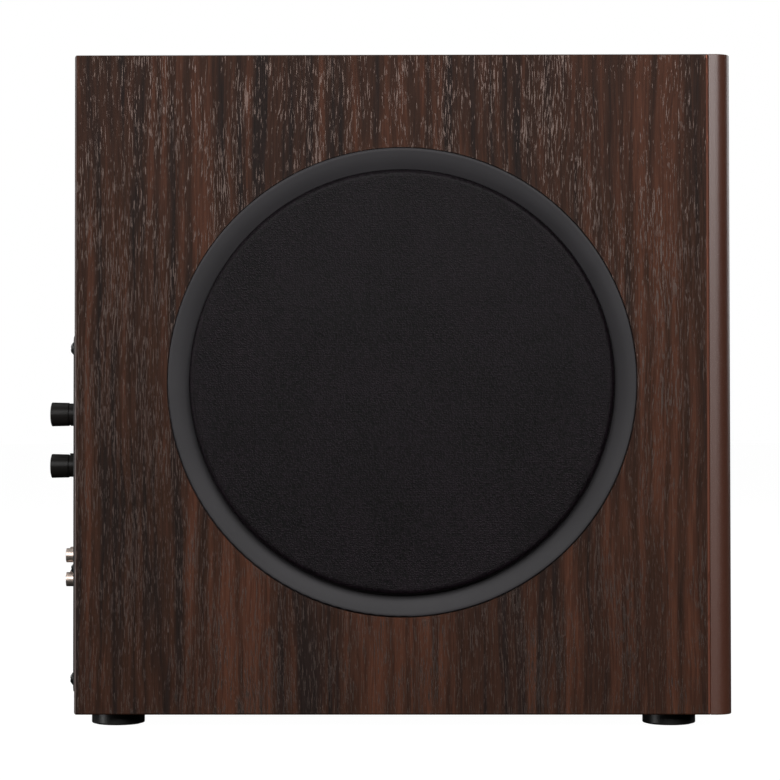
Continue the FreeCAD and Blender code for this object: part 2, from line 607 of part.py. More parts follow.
def motor():
    """The magnet system: top plate, ferrite ring, and the yoke with its vented pole."""
    plate = "(dim.frame_back + dim.frame_sheet)"
    magnet = f"({plate} + dim.plate_thick)"
    back = f"({magnet} + dim.magnet_thick)"
    keep(turned("plate", [
        (plate, "dim.gap_outer"), (magnet, "dim.gap_outer"), (magnet, "dim.plate_radius", 0.8),
        (plate, "dim.plate_radius", 0.8)], DRIVER), "motor_top_plate")
    keep(turned("ferrite", [
        (magnet, 26), (back, 26), (back, "dim.magnet_radius", 1.5), (magnet, "dim.magnet_radius", 1.5)],
        DRIVER), "motor_magnet")
    keep(turned("yoke", [
        (f"{plate} - 1", "dim.vent_radius"), (f"{plate} - 1", "dim.gap_inner"), (back, "dim.gap_inner"),
        (back, "dim.yoke_radius", 1.0), (f"{back} + dim.plate_thick", "dim.yoke_radius", 1.0),
        (f"{back} + dim.plate_thick", "dim.vent_radius")], DRIVER), "motor_yoke")


def terminals():
    """The fibre strip on the can's rear side, with its two push-on tabs."""
    wall = f"({AXIS_Y} + dim.can_radius + dim.frame_sheet)"
    strip = block("terminal_strip", (f"{LEFT} + 49.6", f"{LEFT} + 60"), (wall, f"{wall} + 1.6"),
                  (f"{AXIS_Z} - 14", f"{AXIS_Z} + 14"))
    tabs = [block(f"terminal_tab_{i}", (f"{LEFT} + 54", f"{LEFT} + 54.8"), (f"{wall} + 1.6", f"{wall} + 10"),
                  (f"{AXIS_Z} + {z} - 2.4", f"{AXIS_Z} + {z} + 2.4")) for i, z in enumerate((-8, 8))]
    keep(group("terminal_set", [strip, *tabs]), "driver_terminals")


# ---------------------------------------------------------------- trim ring and grille

def trim_ring():
    """The moulded bezel round the driver: a lip that dishes in towards the grille, and a hollow back."""
    floor_back = "(dim.ring_floor + dim.floor_thick)"
    body = turned("bezel", [
        ("dim.ring_seat", "dim.ring_radius"), ("-dim.ring_proud", "dim.ring_radius", 0.9),
        ("-dim.ring_proud", "dim.ring_radius - 1.6", "bow", "-dim.dish_bow"),
        ("dim.dish_depth", "dim.groove_radius"), ("dim.ring_floor", "dim.groove_radius"),
        ("dim.ring_floor", "dim.ring_inner"),
        ("dim.board", "dim.ring_inner"), ("dim.board", "dim.ring_inner + 2"),
        (floor_back, "dim.ring_inner + 2"), (floor_back, "dim.ring_body - 2"),
        ("dim.board", "dim.ring_body - 2"), ("dim.board", "dim.ring_body"),
        ("dim.ring_seat", "dim.ring_body")], DRIVER)
    pocket_round(body, "socket_hole", "dim.socket_radius + 0.1", "dim.peg_circle", 4, PEG_ANGLES[0], 0, 10)
    pocket_round(body, "ring_screw_hole", 2.2, "dim.peg_circle", 4, RING_SCREW_ANGLES[0], 0, 10)
    keep(body, "trim_ring")
    screws, sockets = [], []
    for i, angle in enumerate(RING_SCREW_ANGLES):
        head = "dim.ring_floor"
        screws.append(turned(f"ring_screw_{i}", [
            (f"{head} - 0.2", 0), (f"{head} - 0.2", 3.2), (head, 3.2), (head, 1.7), (22, 1.7),
            (24, 0)], (LEFT, *polar("dim.peg_circle", angle))))
    for i, angle in enumerate(PEG_ANGLES):
        bore, lip = "(dim.peg_radius + 0.08)", "(dim.socket_radius + 1.1)"
        sockets.append(turned(f"socket_{i}", [
            ("dim.ring_floor", bore), ("dim.ring_floor", "dim.socket_radius"),
            (floor_back, "dim.socket_radius"), (floor_back, lip), (f"{floor_back} + 1.2", lip),
            (f"{floor_back} + 1.2", "dim.socket_radius"),
            (14, "dim.socket_radius"), (14, 0), (12.8, 0), (12.8, bore)],
            (LEFT, *polar("dim.peg_circle", angle))))
    keep(group("ring_screw_set", screws), "trim_ring_screws")
    keep(group("socket_set", sockets), "grille_sockets")


def grille():
    """The moulded grille frame with its pegs, and the cloth stretched over it."""
    front, back = "(dim.cloth_thick - dim.grille_proud + 0.1)", "(dim.ring_floor - 0.6)"
    rim = "(dim.cloth_radius - dim.cloth_thick - 0.2)"
    ring = turned("grille_rim", [
        (front, "dim.peg_circle - 5"), (back, "dim.peg_circle - 5"), (back, rim), (front, rim, 1.9)], DRIVER)
    hub = turned("grille_hub", [
        (front, 18), (f"{front} + 1.5", 18), (f"{front} + 1.5", 24), (front, 24)], DRIVER)
    middle = turned("grille_middle", [
        (front, 64), (f"{front} + 1.5", 64), (f"{front} + 1.5", 68), (front, 68)], DRIVER)
    spokes = []
    for i in range(6):
        spoke = new("Part::Box", f"grille_spoke_{i}")
        spoke.setExpression("Length", "1.5")
        spoke.setExpression("Width", "dim.peg_circle - 2 - 20")
        spoke.setExpression("Height", "5")
        turn = FreeCAD.Rotation(Vector(1, 0, 0), 30 + 60 * i)
        corner = turn.multVec(Vector(0, 20, -2.5))
        at = (f"{LEFT} + {front}", f"{AXIS_Y} + {corner.y}", f"{AXIS_Z} + {corner.z}")
        spokes.append(place(spoke, at, turn))
    pegs = [turned(f"grille_peg_{i}", [
        (f"{back} - 1", 0), (f"{back} - 1", "dim.peg_radius"), (12, "dim.peg_radius", 1.2), (12, 0)],
        (LEFT, *polar("dim.peg_circle", angle))) for i, angle in enumerate(PEG_ANGLES)]
    keep(fuse("frame_moulding", ring, hub, middle, *spokes, *pegs), "grille_frame")
    keep(turned("cloth", [
        ("-dim.grille_proud", 0), ("-dim.grille_proud", "dim.cloth_radius", "dim.cloth_edge"),
        (back, "dim.cloth_radius"), (back, "dim.cloth_radius - dim.cloth_thick"),
        ("dim.cloth_thick - dim.grille_proud", "dim.cloth_radius - dim.cloth_thick",
         "dim.cloth_edge - dim.cloth_thick"),
        ("dim.cloth_thick - dim.grille_proud", 0)], DRIVER), "grille_cloth")


# ---------------------------------------------------------------- amplifier

TORUS_X, TORUS_Y = f"({MID_X} + 45)", f"({REAR} - 82)"
JACK_MID = f"({LEFT} + dim.jack_inset + dim.jack_pitch / 2)"
KNOB_X = f"({LEFT} + dim.knob_inset)"
PHASE_X = f"({LEFT} + dim.phase_inset)"
INLET_X = f"({LEFT} + dim.inlet_inset)"
CONTROLS = (("level", "dim.level_up"), ("crossover", "dim.crossover_up"))


def plate_screw_places():
    """The six plate screws, as expressions for x and z."""
    across = (f"({LEFT} + dim.plate_inset + dim.amp_screw_inset)", MID_X,
              f"({RIGHT} - dim.plate_inset - dim.amp_screw_inset)")
    upright = (f"({BASE} + dim.amp_low + dim.amp_screw_inset)",
               f"({BASE} + dim.amp_high - dim.amp_screw_inset)")
    return [(x, z) for x in across for z in upright]


def plate_outline(inset="0"):
    return rectangle(MID_X, f"{BASE} + (dim.amp_low + dim.amp_high) / 2",
                     f"dim.cab_width - 2 * dim.plate_inset - 2 * ({inset})",
                     f"dim.amp_high - dim.amp_low - 2 * ({inset})", "dim.plate_corner")


def inlet_cavity(grow="0"):
    """The appliance inlet's six-sided opening, about its own centre."""
    wide, tall, slope = f"(12.1 + {grow})", f"(8.1 + {grow})", 4.5
    return [(f"-{wide}", f"-{tall}"), (wide, f"-{tall}"), (wide, f"{tall} - {slope}"),
            (f"{wide} - {slope}", tall), (f"-{wide} + {slope}", tall), (f"-{wide}", f"{tall} - {slope}")]


def moved(corners, x, y):
    return [(f"({x}) + ({a})", f"({y}) + ({b})", *rest) for a, b, *rest in corners]


def amp_plate():
    """The steel plate that carries every control and socket, on its foam gasket."""
    screw_holes = [(x, z, 2.2) for x, z in plate_screw_places()]
    cutouts = [
        plate_outline(),
        rectangle(JACK_MID, f"{BASE} + dim.jack_up", "dim.jack_pitch + 16", "dim.jack_row + 12.6", 1),
        rectangle(INLET_X, f"{BASE} + dim.inlet_up", 27.6, 20.4, 1.5),
        rectangle(INLET_X, f"{BASE} + dim.switch_up", 13.4, 19.6, 0.8),
        rectangle(PHASE_X, f"{BASE} + dim.phase_up", 3.6, "3.6 + dim.phase_travel", 0.5)]
    pots = [(KNOB_X, f"{BASE} + {up}", 3.6) for _, up in CONTROLS]
    jack_screws = [(x, f"{BASE} + dim.jack_up", 1.6) for x in jack_screw_places()]
    keep(pad("plate_sheet", "XZ_Plane", "dim.amp_sheet", ("0", PLATE_OUT, "0"), cutouts,
             screw_holes + pots + jack_screws), "amp_plate")
    window = rectangle(MID_X, f"{BASE} + (dim.hole_low + dim.hole_high) / 2",
                       "dim.cab_width - 2 * dim.hole_inset", "dim.hole_high - dim.hole_low")
    keep(pad("foam", "XZ_Plane", "dim.gasket", ("0", PLATE_IN, "0"), [plate_outline("0.8"), window],
             screw_holes), "amp_gasket")


def pan_screw(name, at, head_radius, head_height, shank_radius, length):
    """A pan-head screw that points into the cabinet, with a cross recess in its head."""
    body = turned(name, [
        (f"-{length}", 0), (f"-{length} + 2", shank_radius), (0, shank_radius), (0, head_radius),
        (f"{head_height} * 0.45", head_radius, f"{head_height} * 0.3"),
        (head_height, f"{head_radius} * 0.55"), (head_height, 0)], at, ALONG_Y)
    arm, width, depth = head_radius * 0.62, 0.9, head_height * 0.6
    bars = [block(f"{name}_slot_{i}", (f"{at[0]} - {wide}", f"{at[0]} + {wide}"),
                  (f"{at[1]} + {head_height - depth}", f"{at[1]} + {head_height + 1}"),
                  (f"{at[2]} - {tall}", f"{at[2]} + {tall}"))
            for i, (wide, tall) in enumerate(((arm, width / 2), (width / 2, arm)))]
    return cut(name + "_head", body, *bars)


def jack_screw_places():
    return (f"({JACK_MID} - dim.block_screw)", f"({JACK_MID} + dim.block_screw)")


def rear_screws():
    """Six screws hold the plate and two smaller ones hold the jack block."""
    screws = [pan_screw(f"plate_screw_{i}", (x, PLATE_OUT, z), 3.6, 2.2, 1.7, 12)
              for i, (x, z) in enumerate(plate_screw_places())]
    block_front = f"({PLATE_OUT} + dim.block_sheet)"
    screws += [pan_screw(f"jack_screw_{i}", (x, block_front, f"({BASE} + dim.jack_up)"), 3.0, 2.4, 1.4, 9)
               for i, x in enumerate(jack_screw_places())]
    keep(group("rear_screw_set", screws), "rear_screws")


def jacks():
    """The moulded block of four signal jacks: shells and contacts, and the coloured inserts."""
    front = f"({PLATE_OUT} + dim.block_sheet)"
    places = [(f"({JACK_MID} + ({i}) * dim.jack_pitch / 2)",
               f"({BASE} + dim.jack_up + ({j}) * dim.jack_row / 2)") for i in (-1, 1) for j in (-1, 1)]
    holes = [(x, z, "dim.jack_radius + 0.05") for x, z in places]
    screw_holes = [(x, f"{BASE} + dim.jack_up", 1.6) for x in jack_screw_places()]
    face = pad("jack_face", "XZ_Plane", "dim.block_sheet", ("0", front, "0"),
               [rectangle(JACK_MID, f"{BASE} + dim.jack_up", "2 * dim.block_half", "dim.block_tall", 2.5)],
               holes + screw_holes)
    body = pad("jack_body", "XZ_Plane", "dim.amp_sheet + 11", ("0", PLATE_OUT, "0"),
               [rectangle(JACK_MID, f"{BASE} + dim.jack_up", "dim.jack_pitch + 15", "dim.jack_row + 12", 1)],
               holes)
    keep(fuse("jack_moulding", face, body), "jack_block")
    shells, inserts = [], []
    tip = "(dim.jack_reach)"
    for i, (x, z) in enumerate(places):
        at = (x, front, z)
        shells.append(turned(f"jack_shell_{i}", [
            (-10, 3.4), (tip, 3.4, 0.2), (tip, "dim.jack_radius", 0.35), (-10, "dim.jack_radius")],
            at, ALONG_Y))
        shells.append(turned(f"jack_contact_{i}", [
            (-12, 1.6), (f"{tip} - 1.2", 1.6), (f"{tip} - 1.2", 1.9), (-12, 1.9)], at, ALONG_Y))
        inserts.append(turned(f"jack_insert_{i}", [
            (-10, 1.95), (f"{tip} - 1.0", 1.95), (f"{tip} - 1.0", 3.35), (-10, 3.35)], at, ALONG_Y))
    keep(group("jack_metal", shells), "jack_shells")
    keep(group("jack_plastic", inserts), "jack_inserts")


def controls():
    """The two rotary controls: knob, shaft, potentiometer and nut."""
    pots, nuts = [], []
    reach = "(dim.knob_reach - dim.gasket - dim.amp_sheet)"
    skirt_end = "(1.2 + dim.skirt_length - 0.8)"
    for name, up in CONTROLS:
        at = (KNOB_X, PLATE_OUT, f"({BASE} + {up})")
        hollow = "(dim.skirt_radius - 0.9)"
        knob = turned(f"{name}_turned", [
            (1.2, hollow), (1.2, "dim.skirt_radius", 0.4), (skirt_end, "dim.skirt_radius"),
            (skirt_end, "dim.skirt_radius - 0.5"), (f"{skirt_end} + 0.4", "dim.skirt_radius - 0.5"),
            (f"{skirt_end} + 0.4", "dim.knob_radius - 0.25", 0.3), (f"{reach} - 0.8", "dim.knob_radius", 0.5),
            (f"{reach} - 0.35", "dim.knob_radius - 1.6", "bow", 40), (reach, 0.8), (reach, 0), (12, 0),
            (12, "dim.shaft_radius + 0.03"), (5, "dim.shaft_radius + 0.03"), (5, hollow)], at, ALONG_Y)
        nub = block(f"{name}_nub_blank", (-0.7, 0.7), (1.4, skirt_end), ("dim.skirt_radius - 0.5",
                                                                        "dim.knob_radius + 0.4"))
        angle = POINTER_ANGLES[name]
        turn = FreeCAD.Rotation(Vector(0, 1, 0), angle)
        corner = turn.multVec(Vector(-0.7, 1.4, number("dim.skirt_radius - 0.5")))
        place(nub, (f"{at[0]} + {corner.x}", f"{at[1]} + {corner.y}", f"{at[2]} + {corner.z}"), turn)
        keep(fuse(f"{name}_moulding", knob, nub), f"{name}_knob")
        keep(turned(f"{name}_spindle", [
            (-8, 0), (-8, "dim.shaft_radius"), (11.8, "dim.shaft_radius", 0.5), (11.8, 0)], at, ALONG_Y),
            f"{name}_shaft")
        bore = "(dim.shaft_radius + 0.05)"
        inner = "(-dim.amp_sheet)"
        pots.append(turned(f"{name}_pot", [
            (f"{inner} - 7.5", bore), (f"{inner} - 7.5", 8.4, 0.6), (inner, 8.4, 0.6), (inner, 3.5),
            (3.6, 3.5), (3.6, bore)], at, ALONG_Y))
        prism = new("Part::Prism", f"{name}_nut_blank")
        prism.Polygon = 6
        prism.setExpression("Circumradius", "5.1")
        prism.setExpression("Height", "1.7")
        place(prism, at, ROD_Y)
        nut_bore = rod(f"{name}_nut_bore", (at[0], f"{at[1]} - 1", at[2]), ROD_Y, 3.55, 5)
        nuts.append(cut(f"{name}_nut", prism, nut_bore))
    keep(group("pot_set", pots + nuts), "control_pots")


# Degrees clockwise from straight up, as seen from behind the cabinet.
POINTER_ANGLES = {"level": 150, "crossover": 0}


def power_switch():
    """The rocker switch: its panel frame, and the rocker, stored switched off."""
    x, z = INLET_X, f"({BASE} + dim.switch_up)"
    bezel = pad("switch_bezel", "XZ_Plane", 1.8, ("0", f"{PLATE_OUT} + 1.8", "0"),
                [rectangle(x, z, 15.2, 21.2, 1), rectangle(x, z, 11.6, 18.6)])
    shell = pad("switch_shell", "XZ_Plane", 14, ("0", PLATE_OUT, "0"),
                [rectangle(x, z, 13.0, 19.2, 0.6), rectangle(x, z, 11.6, 18.6)])
    floor = block("switch_floor", (f"{x} - 5.8", f"{x} + 5.8"), (f"{PLATE_OUT} - 14", f"{PLATE_OUT} - 9"),
                  (f"{z} - 9.3", f"{z} + 9.3"))
    pivot = (f"{x} - 10", f"{PLATE_OUT} - 1.2", z)
    pivot_hole = rod("switch_pivot_hole", pivot, ROD_X, 1.06, 20)
    moulding = cut("switch_frame_moulding", fuse("switch_solid", bezel, shell, floor), pivot_hole)
    keep(moulding, "power_switch_frame")
    turn = FreeCAD.Rotation(Vector(1, 0, 0), number("dim.rocker_tilt"))
    rocker = pad("rocker_moulding", "YZ_Plane", 11, ("0", "0", "0"), [[
        (5.2, -8.2, 0.7), (3.4, 0), (5.2, 8.2, 0.7), (0.6, 8.2), (-4.4, 2.6, 1), (-4.4, -2.6, 1),
        (0.6, -8.2)]], turn=turn)
    place(rocker, (f"{x} - 5.5", f"{PLATE_OUT} - 1.2", z), turn)
    pins = rod("rocker_pivots", (f"{x} - 6.4", f"{PLATE_OUT} - 1.2", z), ROD_X, 1.0, 12.8)
    keep(fuse("rocker_solid", rocker, pins), "power_rocker")


def mains_inlet():
    """The appliance inlet, with its three pins inside the cavity."""
    x, z = INLET_X, f"({BASE} + dim.inlet_up)"
    flange = pad("inlet_flange", "XZ_Plane", 2.2, ("0", f"{PLATE_OUT} + 2.2", "0"),
                 [rectangle(x, z, 31, 24.5, 2), moved(inlet_cavity(), x, z)])
    shell = pad("inlet_shell", "XZ_Plane", 18, ("0", PLATE_OUT, "0"),
                [rectangle(x, z, 27.2, 20, 1.2), moved(inlet_cavity(), x, z)])
    back = block("inlet_back", (f"{x} - 13", f"{x} + 13"), (f"{PLATE_OUT} - 18", f"{PLATE_OUT} - 13.5"),
                 (f"{z} - 9.4", f"{z} + 9.4"))
    pins, slots = [], []
    for i, (side, up) in enumerate(((-7, -2), (0, 2), (7, -2))):
        spans = ((f"{x} + {side} - 1", f"{x} + {side} + 1"), (f"{z} + {up} - 2", f"{z} + {up} + 2"))
        pins.append(block(f"inlet_pin_{i}", spans[0], (f"{PLATE_OUT} - 26", f"{PLATE_OUT} - 0.5"), spans[1]))
        slots.append(block(f"inlet_slot_{i}", spans[0], (f"{PLATE_OUT} - 26", f"{PLATE_OUT} - 0.5"),
                           spans[1]))
    keep(cut("inlet_moulding", fuse("inlet_solid", flange, shell, back), *slots), "mains_inlet")
    keep(group("inlet_pins_set", pins), "mains_inlet_pins")


def phase_switch():
    """The small slide switch: its case behind the plate, and the slider."""
    x, z = PHASE_X, f"({BASE} + dim.phase_up)"
    case = block("phase_case", (f"{x} - 5", f"{x} + 5"), (f"{PLATE_IN} - 7", PLATE_IN),
                 (f"{z} - 8", f"{z} + 8"))
    slot = block("phase_slot", (f"{x} - 1.75", f"{x} + 1.75"), (f"{PLATE_IN} - 5", f"{PLATE_IN} + 1"),
                 (f"{z} - 1.75 - dim.phase_travel / 2", f"{z} + 1.75 + dim.phase_travel / 2"))
    keep(cut("phase_case_cut", case, slot), "phase_switch_case")
    low = f"({z} - 1.6 - dim.phase_travel / 2)"
    keep(block("phase_button", (f"{x} - 1.6", f"{x} + 1.6"), (f"{PLATE_IN} - 4.8", f"{PLATE_OUT} + 2.2"),
               (low, f"{low} + 3.2")), "phase_slider")


def circuit():
    """The boards, heat sink, capacitors, transformer and driver cable behind the plate."""
    left = f"({LEFT} + 34)"
    preamp = block("preamp_pcb", (left, f"{LEFT} + 112"), (f"{PLATE_IN} - 15.6", f"{PLATE_IN} - 14"),
                   (f"{BASE} + 60", f"{BASE} + 185"))
    amp_z = f"({BASE} + 127)"
    amp_left, amp_right = f"({LEFT} + 118)", f"({LEFT} + 208)"
    amp = block("amp_pcb", (amp_left, amp_right), (f"{PLATE_IN} - 88", f"{PLATE_IN} - 4"),
                (amp_z, f"{amp_z} + 1.6"))
    keep(group("pcb_set", [preamp, amp]), "circuit_boards")
    body = pad("sink", "XZ_Plane", 4, (f"{LEFT} + 120", PLATE_IN, f"{BASE} + 136"),
               [[(0, 0), (84, 0), (84, 60), (0, 60)]])
    sketch = sketch_in(body, "fin_sketch", "XZ_Plane", [[(0, 0), (1.6, 0), (1.6, 60), (0, 60)]], offset=4)
    fin = body.newObject("PartDesign::Pad", "fin")
    fin.Profile = sketch
    fin.Length = 22
    doc.recompute()
    rows = body.newObject("PartDesign::LinearPattern", "fins")
    rows.Originals = [fin]
    rows.Direction = (sketch, ["H_Axis"])
    rows.Length = 84 - 1.6
    rows.Occurrences = 11
    body.Tip = rows
    keep(body, "heat_sink")
    cans = []
    for i, (x, y) in enumerate(((30, 52), (60, 52), (30, 76), (60, 76))):
        cans.append(turned(f"can_{i}", [
            (0, 0), (0, 10.5), (3, 10.5), (3.8, 10.0), (4.6, 10.5), (34, 10.5, 1), (34, 0)],
            (f"{amp_left} + {x}", f"{PLATE_IN} - {y}", f"{amp_z} + 1.6"), ALONG_Z))
    keep(group("can_set", cans), "filter_capacitors")
    base = f"({BASE} + dim.board)"
    at = (TORUS_X, TORUS_Y, base)
    keep(turned("torus", [(0, 14, 5), (0, 39, 8), (33, 39, 8), (33, 14, 5)], at, ALONG_Z), "transformer")
    keep(turned("clamp", [
        (-8, 0), (-8, 1.95), (33, 1.95), (33, 26), (34.6, 26), (34.6, 4.2), (38, 4.2, 0.8), (38, 0)],
        at, ALONG_Z), "transformer_clamp")


def board_supports():
    """Pillars between the plate and the preamplifier board, and two angles under the amplifier board."""
    pieces = [rod(f"pillar_{i}", (f"{LEFT} + {x}", f"{PLATE_IN} - 14", f"{BASE} + {z}"), ROD_Y, 3, 14)
              for i, (x, z) in enumerate(((39, 108), (107, 66), (39, 181), (107, 181)))]
    for i, x in enumerate((122, 192)):
        pieces.append(pad(f"angle_{i}", "YZ_Plane", 12, (f"{LEFT} + {x}", PLATE_IN, f"{BASE} + 127"), [
            [(0, 0), (-30, 0), (-30, -1.5), (-1.5, -1.5), (-1.5, -14), (0, -14)]]))
    keep(group("support_set", pieces), "board_supports")


def lead(name, points, radius):
    """A round lead swept along straight runs, joined by tangent arcs as large as the runs allow."""
    edges, start, radii = [], points[0], []
    for before, at, after in zip(points, points[1:], points[2:]):
        one, two = before - at, after - at
        turn = math.pi - one.getAngle(two)
        radii.append(0.45 * min(one.Length, two.Length) / math.tan(turn / 2))
        begin, middle, end = corner_ends(before, at, after, radii[-1])
        edges.append(Part.LineSegment(start, begin).toShape())
        edges.append(Part.Arc(begin, middle, end).toShape())
        start = end
    edges.append(Part.LineSegment(start, points[-1]).toShape())
    path = Part.Wire(edges)
    section = Part.Wire(Part.Circle(points[0], points[1] - points[0], radius).toShape())
    tube = path.makePipeShell([section], True, True)
    ratio = tube.Volume / (math.pi * radius ** 2 * path.Length)
    print(f"{name}: length {path.Length:.0f}, radii {[round(r, 1) for r in radii]}, volume ratio {ratio:.3f}")
    feature = new("Part::Feature", name)
    feature.Shape = tube
    return feature


def driver_cable():
    """The lead from the amplifier board to the driver, with the plug at each end of it."""
    board = (f"{LEFT} + 119", f"{PLATE_IN} - 74", f"{BASE} + 134")
    strip_end = f"({AXIS_Y} + dim.can_radius + dim.frame_sheet + 16)"
    tabs = (f"{LEFT} + 54.4", strip_end, AXIS_Z)
    start, end = (Vector(*(number(value) for value in spot)) for spot in (board, tabs))
    route = [start, start + Vector(-25, 0, 0), start + Vector(-49, -3, 17), end + Vector(4, 38, -15),
             end + Vector(0, 20, 0), end]
    keep(lead("driver_lead", route, number("dim.cable_radius")), "driver_cable")
    header = block("header", (f"{LEFT} + 119", f"{LEFT} + 130"), (f"{board[1]} - 6", f"{board[1]} + 6"),
                   (f"{BASE} + 128.6", f"{BASE} + 139"))
    plug = block("driver_plug", (f"{LEFT} + 52.9", f"{LEFT} + 58.4"), (f"{strip_end} - 13.8", strip_end),
                 (f"{AXIS_Z} - 11.5", f"{AXIS_Z} + 11.5"))
    slots = [block(f"plug_slot_{i}", (f"{LEFT} + 54", f"{LEFT} + 54.8"),
                   (f"{strip_end} - 20", f"{strip_end} - 6"),
                   (f"{AXIS_Z} + {z} - 2.4", f"{AXIS_Z} + {z} + 2.4")) for i, z in enumerate((-8, 8))]
    keep(group("cable_plug_set", [header, cut("driver_plug_cut", plug, *slots)]), "cable_plugs")


def coil_leads():
    """Two braided leads, from the terminal strip through a window of the frame to the back of the cone."""
    # Depth behind the side's outer face, and distance from the driver's axis, along each lead.
    route = ((51.6, 53.1), (51.6, 59), (47.5, 64), (42.5, 68), (37, 68.5), (33, 61), (33.5, 49), (34.9, 37.5))
    origin = Vector(number(LEFT), number(AXIS_Y), number(AXIS_Z))
    leads = []
    for i, z in enumerate((-8, 8)):
        points = [origin + Vector(depth, reach, z) for depth, reach in route]
        leads.append(lead(f"coil_lead_{i}", points, number("dim.coil_lead_radius")))
    keep(group("coil_lead_set", leads), "voice_coil_leads")


# ---------------------------------------------------------------- build, check, write

cabinet()
fascia()
feet()
port()
power_lamp()
basket()
driver_screws()
gasket()
surround()
moving_parts()
spider()
motor()
terminals()
trim_ring()
grille()
amp_plate()
rear_screws()
jacks()
controls()
power_switch()
mains_inlet()
phase_switch()
circuit()
board_supports()
driver_cable()
coil_leads()
doc.recompute()

for item in doc.Objects:
    if "Invalid" in item.State or "Error" in item.State:
        raise RuntimeError(f"{item.Name} failed: {item.State}")
for piece in subparts:
    if piece.Shape.isNull() or not piece.Shape.isValid() or piece.Shape.Volume <= 0:
        raise RuntimeError(f"{piece.Label} has no valid solid")
os.makedirs("parts", exist_ok=True)
for piece in subparts:
    piece.Shape.exportStep(f"parts/{piece.Label}.step")
print(len(subparts), "sub-parts")
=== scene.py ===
"""Looks of the powered subwoofer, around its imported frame. Lengths are in metres, and MM is a millimetre."""

import json
import math

import bmesh
import bpy
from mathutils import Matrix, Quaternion, Vector, noise


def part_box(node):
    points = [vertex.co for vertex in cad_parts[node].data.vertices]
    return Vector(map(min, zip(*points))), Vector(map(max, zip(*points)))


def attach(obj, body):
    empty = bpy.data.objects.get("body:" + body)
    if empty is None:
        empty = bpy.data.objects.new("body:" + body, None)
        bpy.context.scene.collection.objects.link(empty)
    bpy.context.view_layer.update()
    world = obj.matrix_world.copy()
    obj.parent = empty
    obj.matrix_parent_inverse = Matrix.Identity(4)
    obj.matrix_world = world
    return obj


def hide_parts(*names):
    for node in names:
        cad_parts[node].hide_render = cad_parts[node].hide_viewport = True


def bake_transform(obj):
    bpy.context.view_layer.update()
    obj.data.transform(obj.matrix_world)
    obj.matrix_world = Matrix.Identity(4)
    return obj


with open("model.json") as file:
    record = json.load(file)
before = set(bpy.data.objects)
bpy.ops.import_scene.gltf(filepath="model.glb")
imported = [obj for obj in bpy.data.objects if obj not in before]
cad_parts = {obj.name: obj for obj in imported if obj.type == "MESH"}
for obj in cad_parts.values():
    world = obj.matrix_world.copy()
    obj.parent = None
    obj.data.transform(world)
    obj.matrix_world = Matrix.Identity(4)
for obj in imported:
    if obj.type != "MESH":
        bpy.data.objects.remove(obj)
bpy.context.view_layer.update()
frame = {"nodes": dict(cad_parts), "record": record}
NODES = frame["nodes"]
MM = 0.001

# The driver looks along -X. Its axis runs through the middle of the grille's cloth.
cloth_low, cloth_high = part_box("grille_cloth")
AXIS_Y = (cloth_low.y + cloth_high.y) / 2
AXIS_Z = (cloth_low.z + cloth_high.z) / 2
SIDE_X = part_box("driver_side_panel")[0].x       # outer face of the driver's panel
FRONT_EDGE_Y, REAR_EDGE_Y = [corner.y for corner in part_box("driver_side_panel")]
PLATE_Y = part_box("amp_plate")[1].y              # outer face of the amplifier's plate


# ---------------------------------------------------------------- materials

